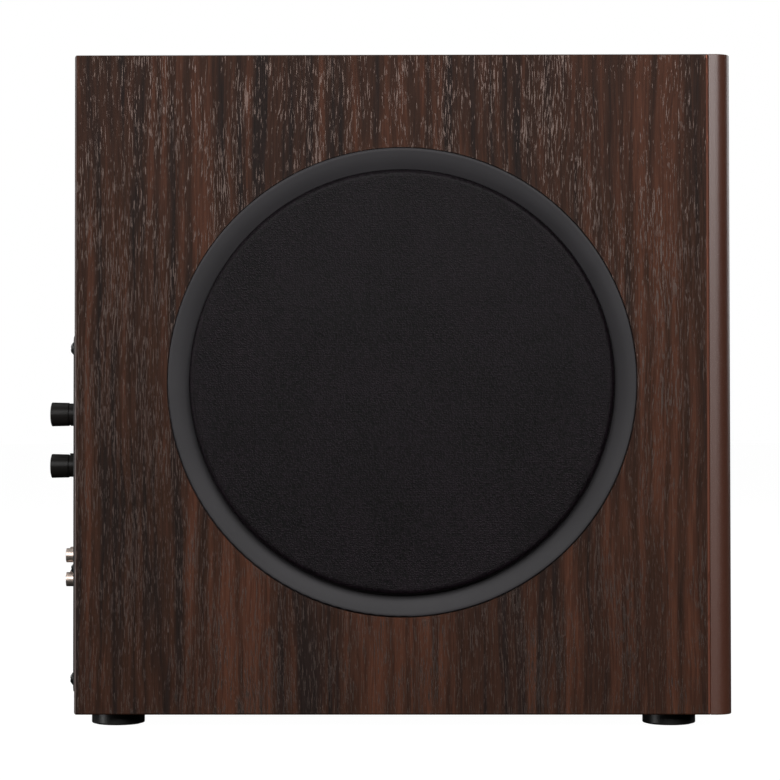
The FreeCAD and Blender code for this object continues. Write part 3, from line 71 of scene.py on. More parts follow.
class Finish:
    """One procedural material. Its patterns are laid in the frame's own metres."""

    # Sockets of a Mix node that mixes colours.
    SHARE, FIRST, SECOND, MIXED = 0, 6, 7, 2

    def __init__(self, name, **constants):
        self.material = bpy.data.materials.new(name)
        self.material.use_nodes = True
        self.tree = self.material.node_tree
        self.shader = self.tree.nodes["Principled BSDF"]
        self.where = self.add("ShaderNodeTexCoord").outputs["Object"]
        for socket, value in constants.items():
            if isinstance(value, tuple):
                value = (*value, 1.0)
            self.shader.inputs[socket.replace("_", " ")].default_value = value

    def add(self, kind, **settings):
        node = self.tree.nodes.new(kind)
        for key, value in settings.items():
            setattr(node, key, value)
        return node

    def put(self, value, socket):
        """Feeds a socket with another node's output, or with a constant."""
        if isinstance(value, bpy.types.NodeSocket):
            self.tree.links.new(value, socket)
        elif isinstance(value, tuple) and socket.type == "RGBA":
            socket.default_value = (*value, 1.0)
        else:
            socket.default_value = value

    def drive(self, socket, value):
        self.put(value, self.shader.inputs[socket])

    def scaled(self, factors, where=None):
        node = self.add("ShaderNodeVectorMath", operation="MULTIPLY")
        self.put(where or self.where, node.inputs[0])
        self.put(factors, node.inputs[1])
        return node.outputs[0]

    def noise(self, factors, detail=2.0, where=None, colour=False, rough=0.5):
        """Soft noise. The factors are its features per metre along X, Y and Z."""
        node = self.add("ShaderNodeTexNoise")
        self.put(self.scaled(factors, where), node.inputs["Vector"])
        node.inputs["Scale"].default_value = 1.0
        node.inputs["Detail"].default_value = detail
        node.inputs["Roughness"].default_value = rough
        return node.outputs["Color" if colour else "Fac"]

    def cells(self, factors, randomness):
        """Distance to the middle of the nearest cell, in cells."""
        node = self.add("ShaderNodeTexVoronoi")
        self.put(self.scaled(factors), node.inputs["Vector"])
        node.inputs["Scale"].default_value = 1.0
        node.inputs["Randomness"].default_value = randomness
        return node.outputs["Distance"]

    def bands(self, direction, pitch, distortion):
        """Waves that repeat at a pitch along one axis."""
        period_at_scale_one = math.pi / 10
        node = self.add("ShaderNodeTexWave", wave_type="BANDS", bands_direction=direction)
        self.put(self.where, node.inputs["Vector"])
        node.inputs["Scale"].default_value = period_at_scale_one / pitch
        node.inputs["Distortion"].default_value = distortion
        return node.outputs["Fac"]

    def maths(self, operation, a, b):
        node = self.add("ShaderNodeMath", operation=operation)
        self.put(a, node.inputs[0])
        self.put(b, node.inputs[1])
        return node.outputs[0]

    def plus(self, a, b):
        return self.maths("ADD", a, b)

    def minus(self, a, b):
        return self.maths("SUBTRACT", a, b)

    def times(self, a, b):
        return self.maths("MULTIPLY", a, b)

    def weighted(self, a, share_a, b, share_b):
        return self.plus(self.times(a, share_a), self.times(b, share_b))

    def spread(self, value, low, high, out_low=0.0, out_high=1.0):
        """Takes low to out_low and high to out_high, with a smooth step between."""
        node = self.add("ShaderNodeMapRange", interpolation_type="SMOOTHSTEP")
        self.put(value, node.inputs["Value"])
        ends = {"From Min": low, "From Max": high, "To Min": out_low, "To Max": out_high}
        for socket, number in ends.items():
            node.inputs[socket].default_value = number
        return node.outputs["Result"]

    def mix(self, share, a, b, blend="MIX"):
        node = self.add("ShaderNodeMix", data_type="RGBA", blend_type=blend)
        self.put(share, node.inputs[self.SHARE])
        self.put(a, node.inputs[self.FIRST])
        self.put(b, node.inputs[self.SECOND])
        return node.outputs[self.MIXED]

    def axis(self, name):
        node = self.add("ShaderNodeSeparateXYZ")
        self.put(self.where, node.inputs[0])
        return node.outputs[name]

    def bump(self, height, depth, strength, under=None):
        node = self.add("ShaderNodeBump")
        node.inputs["Strength"].default_value = strength
        node.inputs["Distance"].default_value = depth
        self.put(height, node.inputs["Height"])
        if under:
            self.put(under, node.inputs["Normal"])
        return node.outputs["Normal"]


def shade(colour, factor):
    """A colour made lighter or darker, and no more than full."""
    return tuple(min(1.0, channel * factor) for channel in colour)


def wood_vinyl(name, grain):
    """Dark wood-grain foil: soft reddish stripes, fine lines, and short embossed flecks along the grain, with
    a painted highlight along the rounded rear edge.
    """
    dark, brown, red_brown = (0.0150, 0.0092, 0.0078), (0.0330, 0.0148, 0.0095), (0.0655, 0.0250, 0.0145)
    # The last colour here is a painted highlight: the paler look of the rounded rear edge where it catches
    # light.
    fleck_grey, front_seam, rear_edge_highlight_colour = (0.071, 0.052, 0.045), (0.120, 0.044, 0.028), (0.115, 0.092, 0.087)
    sway = 7 * MM
    f = Finish(name, Specular_IOR_Level=0.055)

    def along(across, lengthways):
        """Features per metre across the grain and along it, as factors for X, Y and Z."""
        return tuple(lengthways if axis == grain else across for axis in "XYZ")

    wander = f.noise(along(30, 10), 3.0, colour=True)
    shift = f.add("ShaderNodeVectorMath", operation="MULTIPLY_ADD")
    f.put(wander, shift.inputs[0])
    f.put((sway, sway, sway), shift.inputs[1])
    f.put(f.where, shift.inputs[2])
    wavy = shift.outputs[0]

    stripes = f.noise(along(165, 4.8), 3.0, wavy, rough=0.55)
    broad = f.noise(along(20, 1.8), 2.0, wavy)
    tone = f.weighted(stripes, 0.62, broad, 0.38)
    base = f.mix(f.spread(tone, 0.38, 0.50), dark, brown)
    base = f.mix(f.spread(tone, 0.49, 0.63), base, red_brown)
    lines = f.spread(f.noise(along(1100, 40), 2.0, wavy), 0.3, 0.7, 0.80, 1.20)
    base = f.mix(1.0, base, lines, "MULTIPLY")

    fleck = f.noise(along(1750, 115), 2.0, wavy, rough=0.6)
    cluster = f.noise(along(75, 20), 2.0, wavy)
    dense = f.plus(fleck, f.times(f.minus(cluster, 0.5), 0.30))
    mask = f.spread(dense, 0.575, 0.625)
    base = f.mix(f.times(mask, 0.85), base, fleck_grey)

    rearward = f.axis("Y")
    seam = f.spread(rearward, FRONT_EDGE_Y + 1.2 * MM, FRONT_EDGE_Y + 2.0 * MM, 1.0, 0.0)
    base = f.mix(seam, base, front_seam)
    # A narrow paler band just in front of the rear edge, painted as a highlight in place of light on the
    # rounded rear corner.
    rear_edge_highlight = f.times(f.spread(rearward, REAR_EDGE_Y - 1.4 * MM, REAR_EDGE_Y - 0.8 * MM),
                   f.spread(rearward, REAR_EDGE_Y - 0.3 * MM, REAR_EDGE_Y - 0.1 * MM, 1.0, 0.0))
    f.drive("Base Color", f.mix(rear_edge_highlight, base, rear_edge_highlight_colour))
    f.drive("Metallic", f.times(mask, 0.84))
    f.drive("Roughness", f.spread(mask, 0, 1, 0.46, 0.30))
    f.drive("Normal", f.bump(mask, 0.10 * MM, 0.5, under=f.bump(lines, 0.05 * MM, 0.4)))
    return f.material


def moulded(name, colour, rough, grain=900, depth=0.03 * MM, vary=0.12, **constants):
    """Moulded, painted or cast surface: a fine grain, and slow changes of tone and gloss."""
    f = Finish(name, **constants)
    slow = f.noise((38, 38, 38), 3.0)
    fine = f.noise((grain, grain, grain), 2.0)
    f.drive("Base Color", f.mix(f.spread(slow, 0.3, 0.7), shade(colour, 1 - vary), shade(colour, 1 + vary)))
    both = f.weighted(slow, 0.5, fine, 0.5)
    f.drive("Roughness", f.spread(both, 0.3, 0.7, rough * 0.88, min(1.0, rough * 1.12)))
    f.drive("Normal", f.bump(fine, depth, 0.5))
    return f.material


def metal(name, colour, rough, across=(900, 900, 900)):
    """Bright metal, brushed or turned, with slightly uneven gloss."""
    f = Finish(name, Metallic=1.0)
    lines = f.noise(across, 3.0)
    stain = f.noise((60, 60, 60), 3.0)
    f.drive("Base Color", f.mix(f.spread(stain, 0.35, 0.7), colour, shade(colour, 0.82)))
    f.drive("Roughness", f.spread(lines, 0.25, 0.75, rough * 0.75, rough * 1.25))
    f.drive("Normal", f.bump(lines, 0.01 * MM, 0.4))
    return f.material


def wood_grain(name, dark, light, rough):
    """Solid or fibre wood under paint or left raw, its grain along Z."""
    f = Finish(name, Specular_IOR_Level=0.3)
    rings = f.noise((180, 180, 9), 4.0)
    dust = f.noise((1400, 1400, 1400), 2.0)
    f.drive("Base Color", f.mix(f.spread(rings, 0.3, 0.7), dark, light))
    f.drive("Roughness", f.spread(dust, 0.3, 0.7, rough * 0.9, min(1.0, rough * 1.1)))
    f.drive("Normal", f.bump(f.plus(rings, dust), 0.08 * MM, 0.4))
    return f.material


def fascia_finish():
    """Satin brown lacquer with a faint metallic grain."""
    brown, pale_brown, glint = (0.070, 0.024, 0.014), (0.084, 0.029, 0.017), (0.12, 0.065, 0.05)
    f = Finish("fascia_finish", Specular_IOR_Level=0.82)
    speck = f.noise((2200, 2200, 2200), 1.0)
    slow = f.noise((30, 30, 5), 3.0)
    base = f.mix(f.spread(slow, 0.3, 0.7), brown, pale_brown)
    f.drive("Base Color", f.mix(f.spread(speck, 0.55, 0.75), base, glint))
    f.drive("Roughness", f.spread(speck, 0.3, 0.7, 0.31, 0.41))
    f.drive("Normal", f.bump(speck, 0.012 * MM, 0.5))
    return f.material


def ring_finish():
    """Satin grey moulded plastic with a fine spark-eroded texture."""
    grey, pale_grey = (0.0280, 0.0262, 0.0285), (0.0330, 0.0308, 0.0335)
    f = Finish("ring_finish", Specular_IOR_Level=0.22)
    texture = f.noise((2600, 2600, 2600), 1.5)
    slow = f.noise((20, 20, 20), 2.0)
    f.drive("Base Color", f.mix(f.spread(slow, 0.3, 0.7), grey, pale_grey))
    f.drive("Roughness", f.spread(texture, 0.3, 0.7, 0.50, 0.62))
    f.drive("Normal", f.bump(texture, 0.02 * MM, 0.6))
    return f.material


def knit_cloth():
    """Black open knit: small dark gaps between soft loops, and loops that catch the light unevenly."""
    gap_black, loop_black = (0.0001, 0.0001, 0.0001), (0.0124, 0.0080, 0.0112)
    f = Finish("knit_cloth", Specular_IOR_Level=0.10)
    loops = f.spread(f.cells((1150, 1150, 1000), randomness=0.6), 0.18, 0.62, 1.0, 0.0)
    fuzz = f.noise((820, 820, 620), 2.0)
    slow = f.noise((36, 36, 24), 2.0)
    tone = f.plus(f.times(loops, 0.45), f.spread(fuzz, 0.25, 0.75, 0.0, 0.55))
    tone = f.plus(tone, f.spread(slow, 0.3, 0.7, -0.06, 0.06))
    f.drive("Base Color", f.mix(tone, gap_black, loop_black))
    f.drive("Roughness", f.spread(loops, 0, 1, 0.46, 0.38))
    f.drive("Normal", f.bump(f.plus(loops, fuzz), 0.2 * MM, 0.5))
    return f.material


def woven(name, dark, light, pitch, rough=0.9):
    """Plain woven cloth whose threads cross in the YZ plane."""
    f = Finish(name, Specular_IOR_Level=0.3)
    height = f.times(f.bands("Y", pitch, 0.6), f.bands("Z", pitch, 0.6))
    fuzz = f.noise((1500, 1500, 1500), 2.0)
    f.drive("Base Color", f.mix(f.weighted(height, 0.7, fuzz, 0.4), dark, light))
    f.drive("Roughness", f.spread(fuzz, 0.3, 0.7, rough * 0.9, min(1.0, rough * 1.08)))
    f.drive("Normal", f.bump(height, 0.15 * MM, 0.5))
    return f.material


def fibre(name, dark, light, scale):
    """Matted fibres: wadding, felt or pulp."""
    f = Finish(name, Specular_IOR_Level=0.2, Sheen_Weight=0.2)
    strands = f.noise((scale, scale, scale * 3), 5.0, rough=0.7)
    slow = f.noise((45, 45, 45), 3.0)
    f.drive("Base Color", f.mix(f.weighted(strands, 0.6, slow, 0.4), dark, light))
    f.drive("Roughness", f.spread(strands, 0.2, 0.8, 0.85, 1.0))
    f.drive("Normal", f.bump(strands, 0.4 * MM, 0.6))
    return f.material


def wound(name, colour, gap, pitch, axis, rough, metallic):
    """Wire or tape laid in turns side by side along one axis."""
    f = Finish(name, Metallic=metallic)
    ridges = f.bands(axis, pitch, 0.4)
    stain = f.noise((90, 90, 90), 3.0)
    turns = f.times(ridges, f.spread(stain, 0.3, 0.7, 0.75, 1.1))
    f.drive("Base Color", f.mix(turns, gap, colour))
    f.drive("Roughness", f.spread(stain, 0.3, 0.7, rough * 0.85, min(1.0, rough * 1.15)))
    f.drive("Normal", f.bump(ridges, pitch * 0.2, 0.6))
    return f.material


def circuit():
    """Green lacquered board with paler copper tracks under the lacquer."""
    colours = {"Color1": (0.018, 0.11, 0.05), "Color2": (0.02, 0.13, 0.06), "Mortar": (0.05, 0.24, 0.11)}
    lacquer = (0.03, 0.16, 0.08)
    f = Finish("circuit", Coat_Weight=0.3, Coat_Roughness=0.15)
    tracks = f.add("ShaderNodeTexBrick")
    f.put(f.scaled((120, 120, 120)), tracks.inputs["Vector"])
    tracks.inputs["Mortar Size"].default_value = 0.06
    tracks.inputs["Scale"].default_value = 1.0
    for socket, colour in colours.items():
        f.put(colour, tracks.inputs[socket])
    weave = f.noise((900, 900, 900), 2.0)
    f.drive("Base Color", f.mix(f.spread(weave, 0.4, 0.7, 0.0, 0.3), tracks.outputs["Color"], lacquer))
    f.drive("Roughness", f.spread(weave, 0.3, 0.7, 0.3, 0.45))
    f.drive("Normal", f.bump(tracks.outputs["Fac"], 0.03 * MM, 0.5))
    return f.material


def two_tone(name, split, low_colour, high_colour, rough):
    """Moulded plastic whose colour changes at a height, for inserts of two colours in one node."""
    blur, scuff = 0.2 * MM, (0.3, 0.28, 0.27)
    f = Finish(name)
    fine = f.noise((1100, 1100, 1100), 2.0)
    base = f.mix(f.spread(f.axis("Z"), split - blur, split + blur), low_colour, high_colour)
    f.drive("Base Color", f.mix(f.spread(fine, 0.3, 0.7, 0.0, 0.2), base, scuff))
    f.drive("Roughness", f.spread(fine, 0.3, 0.7, rough * 0.9, rough * 1.1))
    f.drive("Normal", f.bump(fine, 0.02 * MM, 0.5))
    return f.material


def clouded_lens(name, colour):
    """Clouded lens of a small lamp."""
    f = Finish(name, Transmission_Weight=0.55, IOR=1.49)
    cloud = f.noise((700, 700, 700), 3.0)
    f.drive("Base Color", f.mix(cloud, colour, shade(colour, 0.8)))
    f.drive("Roughness", f.spread(cloud, 0.3, 0.7, 0.12, 0.25))
    f.drive("Normal", f.bump(cloud, 0.01 * MM, 0.3))
    return f.material


jacks_low, jacks_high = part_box("jack_inserts")
JACK_ROWS_MEET_Z = (jacks_low.z + jacks_high.z) / 2
JACK_RED, JACK_WHITE = (0.42, 0.02, 0.02), (0.70, 0.69, 0.66)

WOOD_UPRIGHT = wood_vinyl("wood_vinyl_upright", "Z")
WOOD_LEVEL = wood_vinyl("wood_vinyl_level", "X")
CLOTH = knit_cloth()
KNOB = moulded("knob_moulding", (0.0108, 0.0096, 0.0088), 0.38, 700, 0.006 * MM, 0.1,
               Specular_IOR_Level=0.12)
RUBBER = moulded("surround_rubber", (0.018, 0.018, 0.019), 0.55, 1600, 0.02 * MM, 0.2,
                 Specular_IOR_Level=0.45)
SPIDER_CLOTH = woven("spider_weave", (0.30, 0.17, 0.06), (0.62, 0.42, 0.18), 0.5 * MM)
WADDING = fibre("wadding_fibre", (0.60, 0.60, 0.57), (0.86, 0.86, 0.83), 300)
COPPER_BRAID = wound("copper_braid", (0.78, 0.42, 0.24), (0.22, 0.10, 0.05), 0.35 * MM, "Y", 0.35, 1.0)
MARK_PAINT = moulded("mark_paint", (0.72, 0.72, 0.70), 0.5, 2000, 0.01 * MM, 0.05)

SLOT_FINISHES = {
    "wood_vinyl": WOOD_UPRIGHT,
    "black_board": wood_grain("black_board", (0.014, 0.0135, 0.013), (0.024, 0.023, 0.022), 0.62),
    "batten_wood": wood_grain("batten_wood", (0.42, 0.28, 0.15), (0.66, 0.49, 0.30), 0.75),
    "wadding": WADDING,
    "fascia_satin": fascia_finish(),
    "gloss_black": moulded("gloss_moulding", (0.0170, 0.0158, 0.0150), 0.36, 700, 0.006 * MM, 0.1,
                           Specular_IOR_Level=0.45),
    "black_plastic": moulded("black_moulding", (0.0068, 0.0058, 0.0052), 0.40, Specular_IOR_Level=0.12),
    "ring_grey": ring_finish(),
    "grille_cloth": CLOTH,
    "lamp": clouded_lens("lamp_lens", (0.75, 0.78, 0.82)),
    "pad_rubber": moulded("pad_rubber", (0.014, 0.014, 0.014), 0.8, 1300, 0.05 * MM, 0.2),
    "zinc": metal("zinc_plate", (0.62, 0.62, 0.60), 0.32),
    "black_screw": moulded("black_screw", (0.020, 0.020, 0.020), 0.30, 1200, 0.01 * MM, 0.15, Metallic=0.6),
    "basket_paint": moulded("basket_paint", (0.020, 0.020, 0.022), 0.5, 1500, 0.04 * MM),
    "gasket_foam": fibre("gasket_foam", (0.012, 0.012, 0.012), (0.040, 0.040, 0.040), 900),
    "cone_paper": fibre("cone_pulp", (0.018, 0.018, 0.019), (0.045, 0.045, 0.047), 520),
    "coil_kapton": moulded("coil_film", (0.45, 0.22, 0.05), 0.3, 600, 0.01 * MM, 0.15,
                           Specular_IOR_Level=0.6),
    "copper": wound("copper_turns", (0.80, 0.42, 0.24), (0.25, 0.10, 0.05), 0.3 * MM, "X", 0.28, 1.0),
    "spider_cloth": SPIDER_CLOTH,
    "ferrite": moulded("ferrite", (0.055, 0.055, 0.058), 0.6, 2200, 0.05 * MM, 0.25),
    "amp_paint": moulded("amp_paint", (0.014, 0.014, 0.0145), 0.46, 2400, 0.03 * MM),
    "gold": metal("gold_plate", (0.74, 0.62, 0.55), 0.45),
    "jack_red": two_tone("jack_plastic", JACK_ROWS_MEET_Z, JACK_RED, JACK_WHITE, 0.4),
    "circuit_green": circuit(),
    "sink_alloy": metal("black_anodised", (0.055, 0.055, 0.058), 0.42, (900, 900, 60)),
    "can_sleeve": moulded("can_sleeve", (0.014, 0.018, 0.045), 0.3, 500, 0.01 * MM, 0.15,
                          Specular_IOR_Level=0.6),
    "torus_tape": wound("transformer_tape", (0.62, 0.50, 0.13), (0.30, 0.22, 0.05), 6 * MM, "X", 0.35, 0.0),
    "cable_jacket": moulded("cable_jacket", (0.016, 0.016, 0.016), 0.5, 1300, 0.02 * MM, 0.15),
}

# Nodes whose finish isn't their slot's.
NODE_FINISHES = {
    "top_panel": WOOD_LEVEL,
    "bottom_panel": WOOD_LEVEL,
    "level_knob": KNOB,
    "crossover_knob": KNOB,
}

for part in frame["record"]["subparts"]:
    materials = NODES[part["node"]].data.materials
    materials.clear()
    materials.append(NODE_FINISHES.get(part["node"], SLOT_FINISHES[part["material_slot"]]))


# ---------------------------------------------------------------- pieces

def show(name, mesh, finish, smooth=True):
    """Puts a mesh in the scene as a visible piece."""
    for face in mesh.polygons:
        face.use_smooth = smooth
    mesh.materials.clear()
    mesh.materials.append(finish)
    shown = bpy.data.objects.new(name, mesh)
    bpy.context.scene.collection.objects.link(shown)
    return shown


def piece(name, points, faces, finish, smooth=True):
    """A piece from points and faces, with its normals turned outward and its corners left sharp."""
    same_point, sharp_corner = 1e-7, math.radians(50)
    mesh = bpy.data.meshes.new(name)
    mesh.from_pydata([tuple(p) for p in points], [], faces)
    made = bmesh.new()
    made.from_mesh(mesh)
    bmesh.ops.remove_doubles(made, verts=made.verts, dist=same_point)
    bmesh.ops.recalc_face_normals(made, faces=made.faces)
    made.to_mesh(mesh)
    made.free()
    shown = show(name, mesh, finish, smooth)
    mesh.set_sharp_from_angle(angle=sharp_corner)
    return shown


def about_axis(depth, radius, angle):
    """A point at a depth behind the side panel's face, and at a radius and angle about the driver's axis."""
    return Vector((SIDE_X + depth, AXIS_Y + radius * math.cos(angle), AXIS_Z + radius * math.sin(angle)))


def arc(centre, radius, first, last, steps):
    """Points of an arc in the (depth, radius) plane. Angles are in degrees from inward along the axis."""
    spots = []
    for i in range(steps + 1):
        turn = math.radians(first + (last - first) * i / steps)
        spots.append((centre[0] + radius * math.cos(turn), centre[1] + radius * math.sin(turn)))
    return spots


def grille_fabric():
    """The cloth over the grille's frame: a flat face, a rolled edge and a skirt tucked round its back."""
    face, outer, edge = cloth_low.x - SIDE_X, 120.5 * MM, 3.0 * MM
    ring_pitch, skirt_pitch, around = 4 * MM, 1.0 * MM, 240
    tuck_depth, tuck_in, turned_edge, thick = 3.8 * MM, 0.05 * MM, 5 * MM, 0.8 * MM
    slack_depth, slack_fades_over, slack_lumps_per_metre = 0.25 * MM, 12 * MM, 28

    profile = [(face, ring_pitch * i) for i in range(1, 30)]
    profile += arc((face + edge, outer - edge), edge, 180, 90, 8)
    profile += [(face + edge + skirt_pitch * i, outer) for i in range(1, 6)]
    profile += [(tuck_depth, outer - tuck_in)]
    points = [about_axis(face, 0, 0)]
    for depth, radius in profile:
        for j in range(around):
            spot = about_axis(depth, radius, math.tau * j / around)
            slack = 0.5 + 0.5 * noise.noise(Vector((spot.y, spot.z, 0)) * slack_lumps_per_metre)
            slack *= min(1.0, max(0.0, (outer - radius) / slack_fades_over))
            spot.x += slack_depth * slack
            points.append(spot)
    faces = [(0, 1 + j, 1 + (j + 1) % around) for j in range(around)]
    for i in range(len(profile) - 1):
        for j in range(around):
            a, b = 1 + i * around, 1 + (i + 1) * around
            k = (j + 1) % around
            faces.append((a + j, b + j, b + k, a + k))
    cloth = piece("grille_fabric", points, faces, CLOTH)
    # The outside faces -X, so the thickness is added behind it.
    if cloth.data.polygons[0].normal.x > 0:
        cloth.data.flip_normals()
    shell = cloth.modifiers.new("thickness", "SOLIDIFY")
    shell.thickness = thick
    shell.offset = -1
    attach(cloth, "grille")
    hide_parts("grille_cloth")


def sector(name, section, index, count, steps, finish):
    """One closed sector of a ring whose section is a loop of (depth, radius) points."""
    points, faces = [], []
    size = len(section)
    for j in range(steps + 1):
        angle = math.tau * (index + j / steps) / count
        points += [about_axis(depth, radius, angle) for depth, radius in section]
    for j in range(steps):
        for i in range(size):
            a, b = j * size + i, j * size + (i + 1) % size
            faces.append((a, b, b + size, a + size))
    for j in (0, steps):
        for i in range(size // 2 - 1):
            a = j * size
            faces.append((a + i, a + i + 1, a + size - 2 - i, a + size - 1 - i))
    return piece(name, points, faces, finish)


def strip_section(line, thick):
    """A loop round a line of (depth, radius) points: out along one side and back along the other."""
    sides = [[], []]
    for i, (depth, radius) in enumerate(line):
        before, after = line[max(0, i - 1)], line[min(len(line) - 1, i + 1)]
        run = Vector((after[0] - before[0], after[1] - before[1])).normalized()
        for side, sign in zip(sides, (1, -1)):
            side.append((depth - sign * run.y * thick / 2, radius + sign * run.x * thick / 2))
    return sides[0] + sides[1][::-1]


def flexible_ring(name, line, thick, finish, node):
    """A ring of sectors, laid round the driver's axis between the still rim and the moving neck."""
    count, steps = 24, 10
    section = strip_section(line, thick)
    for index in range(count):
        made = sector(f"{name}_{index + 1:02d}", section, index, count, steps, finish)
        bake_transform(made)
        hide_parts(node)


def surround_line():
    """Middle line of the half-roll, from the rim under the gasket to the cone's edge."""
    depth, roll_centre, roll = 13.1 * MM, 85 * MM, 6.2 * MM
    rim_radii, neck_radii = (101.8, 97, 93), (77.5, 75.3)
    line = [(depth, radius * MM) for radius in rim_radii]
    line += arc((depth, roll_centre), roll, 90, 270, 16)
    line += [(depth, radius * MM) for radius in neck_radii]
    return line


def spider_line():
    """Middle line of the corrugated centring disc, from the basket's shelf to the coil former."""
    depth, wave_height, waves, steps = 46.7 * MM, 1.5 * MM, 4, 48
    shelf_radius, first_wave, last_wave, former_radius = 55.8, 52, 24, 19.4
    line = [(depth, shelf_radius * MM)]
    for i in range(steps + 1):
        share = i / steps
        radius = first_wave - (first_wave - last_wave) * share
        line.append((depth - wave_height * math.sin(share * waves * math.tau), radius * MM))
    line.append((depth, former_radius * MM))
    return line


def tube(name, route, radius, finish):
    """A thin lead along a smooth curve through a few points."""
    curve = bpy.data.curves.new(name, "CURVE")
    curve.dimensions = "3D"
    line = curve.splines.new("NURBS")
    line.points.add(len(route) - 1)
    for spot, place in zip(line.points, route):
        spot.co = (*place, 1.0)
    line.order_u = 3
    line.use_endpoint_u = True
    line.resolution_u = 8
    curve.bevel_depth = radius
    curve.bevel_resolution = 3
    curve.use_fill_caps = True
    holder = bpy.data.objects.new(name + "_line", curve)
    bpy.context.scene.collection.objects.link(holder)
    mesh = bpy.data.meshes.new_from_object(holder.evaluated_get(bpy.context.evaluated_depsgraph_get()))
    bpy.data.objects.remove(holder)
    return show(name, mesh, finish)


def coil_leads():
    """Two braided leads from the basket's terminals to the cone, with slack for its travel."""
    lead_radius, apart = 0.55 * MM, 16 * MM
    # Depth behind the side panel's face and distance from the driver's axis, in mm.
    route = [(51.6, 53.1), (51.6, 59), (47.5, 64), (42.5, 68), (37, 68.5), (33, 61), (33.5, 49), (34.9, 37.5)]
    low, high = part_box("voice_coil_leads")
    outward = -1 if abs(low.y - AXIS_Y) > abs(high.y - AXIS_Y) else 1
    for index, side in enumerate((-apart / 2, apart / 2)):
        spots = [(SIDE_X + u * MM, AXIS_Y + outward * r * MM, AXIS_Z + side) for u, r in route]
        lead = tube(f"coil_lead_{index + 1}", spots, lead_radius, COPPER_BRAID)
        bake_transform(lead)
        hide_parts("voice_coil_leads")


def wadding_pad():
    """A slab of fibre wadding, rounded and lumpy, tacked inside the far wall."""
    cuts, rounding, inset, lump_height, lumps_per_metre = 31, 9 * MM, 2.2 * MM, 2.0 * MM, 26
    pattern_start = Vector((3, 7, 1))
    low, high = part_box("acoustic_wadding")
    middle, size = (low + high) / 2, high - low
    made = bmesh.new()
    bmesh.ops.create_cube(made, size=2.0)
    bmesh.ops.subdivide_edges(made, edges=made.edges[:], cuts=cuts, use_grid_fill=True)
    for v in made.verts:
        spot = Vector([v.co[i] * size[i] / 2 for i in range(3)])
        core = Vector([max(-size[i] / 2 + rounding, min(size[i] / 2 - rounding, spot[i])) for i in range(3)])
        away = spot - core
        if away.length > 1e-9:
            lump = noise.fractal(spot * lumps_per_metre + pattern_start, 0.8, 2.2, 3)
            spot = core + away.normalized() * (rounding - inset + lump_height * max(-1, min(1, lump)))
        v.co = middle + spot
    mesh = bpy.data.meshes.new("wadding_pad")
    made.to_mesh(mesh)
    made.free()
    pad = show("wadding_pad", mesh, WADDING)
    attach(pad, "cabinet")
    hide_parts("acoustic_wadding")


def clock_hand(angle):
    """Directions along and across a hand that stands at an angle in degrees from upright, in the XZ plane."""
    turn = math.radians(angle)
    out = Vector((math.sin(turn), 0, math.cos(turn)))
    return out, Vector((out.z, 0, -out.x))


def add_bar(points, faces, centre, angle, near, far, wide, y, high):
    """Adds one raised bar with round ends to a mesh, pointing from a centre in the XZ plane."""
    steps = 6
    out, side = clock_hand(angle)
    loop = []
    for end, first in ((far, 0), (near, 180)):
        for k in range(steps + 1):
            turn = math.radians(first + 180 * k / steps)
            loop.append(centre + out * (end + wide / 2 * math.sin(turn)) + side * (wide / 2 * math.cos(turn)))
    start, count = len(points), len(loop)
    for level in (y, y + high):
        points += [Vector((p.x, level, p.z)) for p in loop]
    faces.append(tuple(range(start, start + count)))
    faces.append(tuple(range(start + 2 * count - 1, start + count - 1, -1)))
    for k in range(count):
        n = (k + 1) % count
        faces.append((start + k, start + n, start + count + n, start + count + k))


def dial_marks(name, knob):
    """Printed marks round a control, from its lowest to its highest setting."""
    marks, lowest, step = 11, -150, 30
    near, far, far_of_long, wide, high_off = 9.6 * MM, 11.0 * MM, 12.0 * MM, 0.55 * MM, 0.06 * MM
    low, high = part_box(knob)
    centre = Vector(((low.x + high.x) / 2, 0, (low.z + high.z) / 2))
    points, faces = [], []
    for i in range(marks):
        is_long = i in (0, marks // 2, marks - 1)
        reach = far_of_long if is_long else far
        add_bar(points, faces, centre, lowest + step * i, near, reach, wide, PLATE_Y, high_off)
    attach(piece(name, points, faces, MARK_PAINT, smooth=False), "cabinet")


def pointer_line(name, knob, body, angle):
    """The painted line on a knob's domed end, which shows where it is set."""
    near, length, half_width, dome_radius, steps = 2.0, 3.4, 0.4 * MM, 40 * MM, 8
    buried, raised = -0.15 * MM, 0.04 * MM
    low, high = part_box(knob)
    radius = (high.x - low.x) / 2
    centre = Vector((low.x + radius, high.y, low.z + radius))
    out, side = clock_hand(angle)
    points, faces = [], []
    for i in range(steps + 1):
        reach = (near + length * i / steps) * MM
        dome = centre + out * reach - Vector((0, reach ** 2 / (2 * dome_radius), 0))
        for across, lift in ((-1, buried), (-1, raised), (1, raised), (1, buried)):
            points.append(dome + side * half_width * across + Vector((0, lift, 0)))
    for i in range(steps):
        for k in range(4):
            n = (k + 1) % 4
            faces.append((4 * i + k, 4 * i + n, 4 * i + 4 + n, 4 * i + 4 + k))
    faces += [(0, 1, 2, 3), (4 * steps + 3, 4 * steps + 2, 4 * steps + 1, 4 * steps)]
    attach(piece(name, points, faces, MARK_PAINT, smooth=False), body)


grille_fabric()
flexible_ring("surround", surround_line(), thick=0.8 * MM,
              finish=RUBBER, node="driver_surround")
flexible_ring("spider", spider_line(), thick=0.5 * MM,
              finish=SPIDER_CLOTH, node="driver_spider")
coil_leads()
wadding_pad()
dial_marks("level_dial_marks", "level_knob")
dial_marks("crossover_dial_marks", "crossover_knob")
pointer_line("level_knob_line", "level_knob", "level_control", 150)
pointer_line("crossover_knob_line", "crossover_knob", "crossover_control", 0)


# ---------------------------------------------------------------- stage, light and camera

WHITE = (1.0, 1.0, 1.0)
COOL_WHITE = (0.96, 0.98, 1.0)


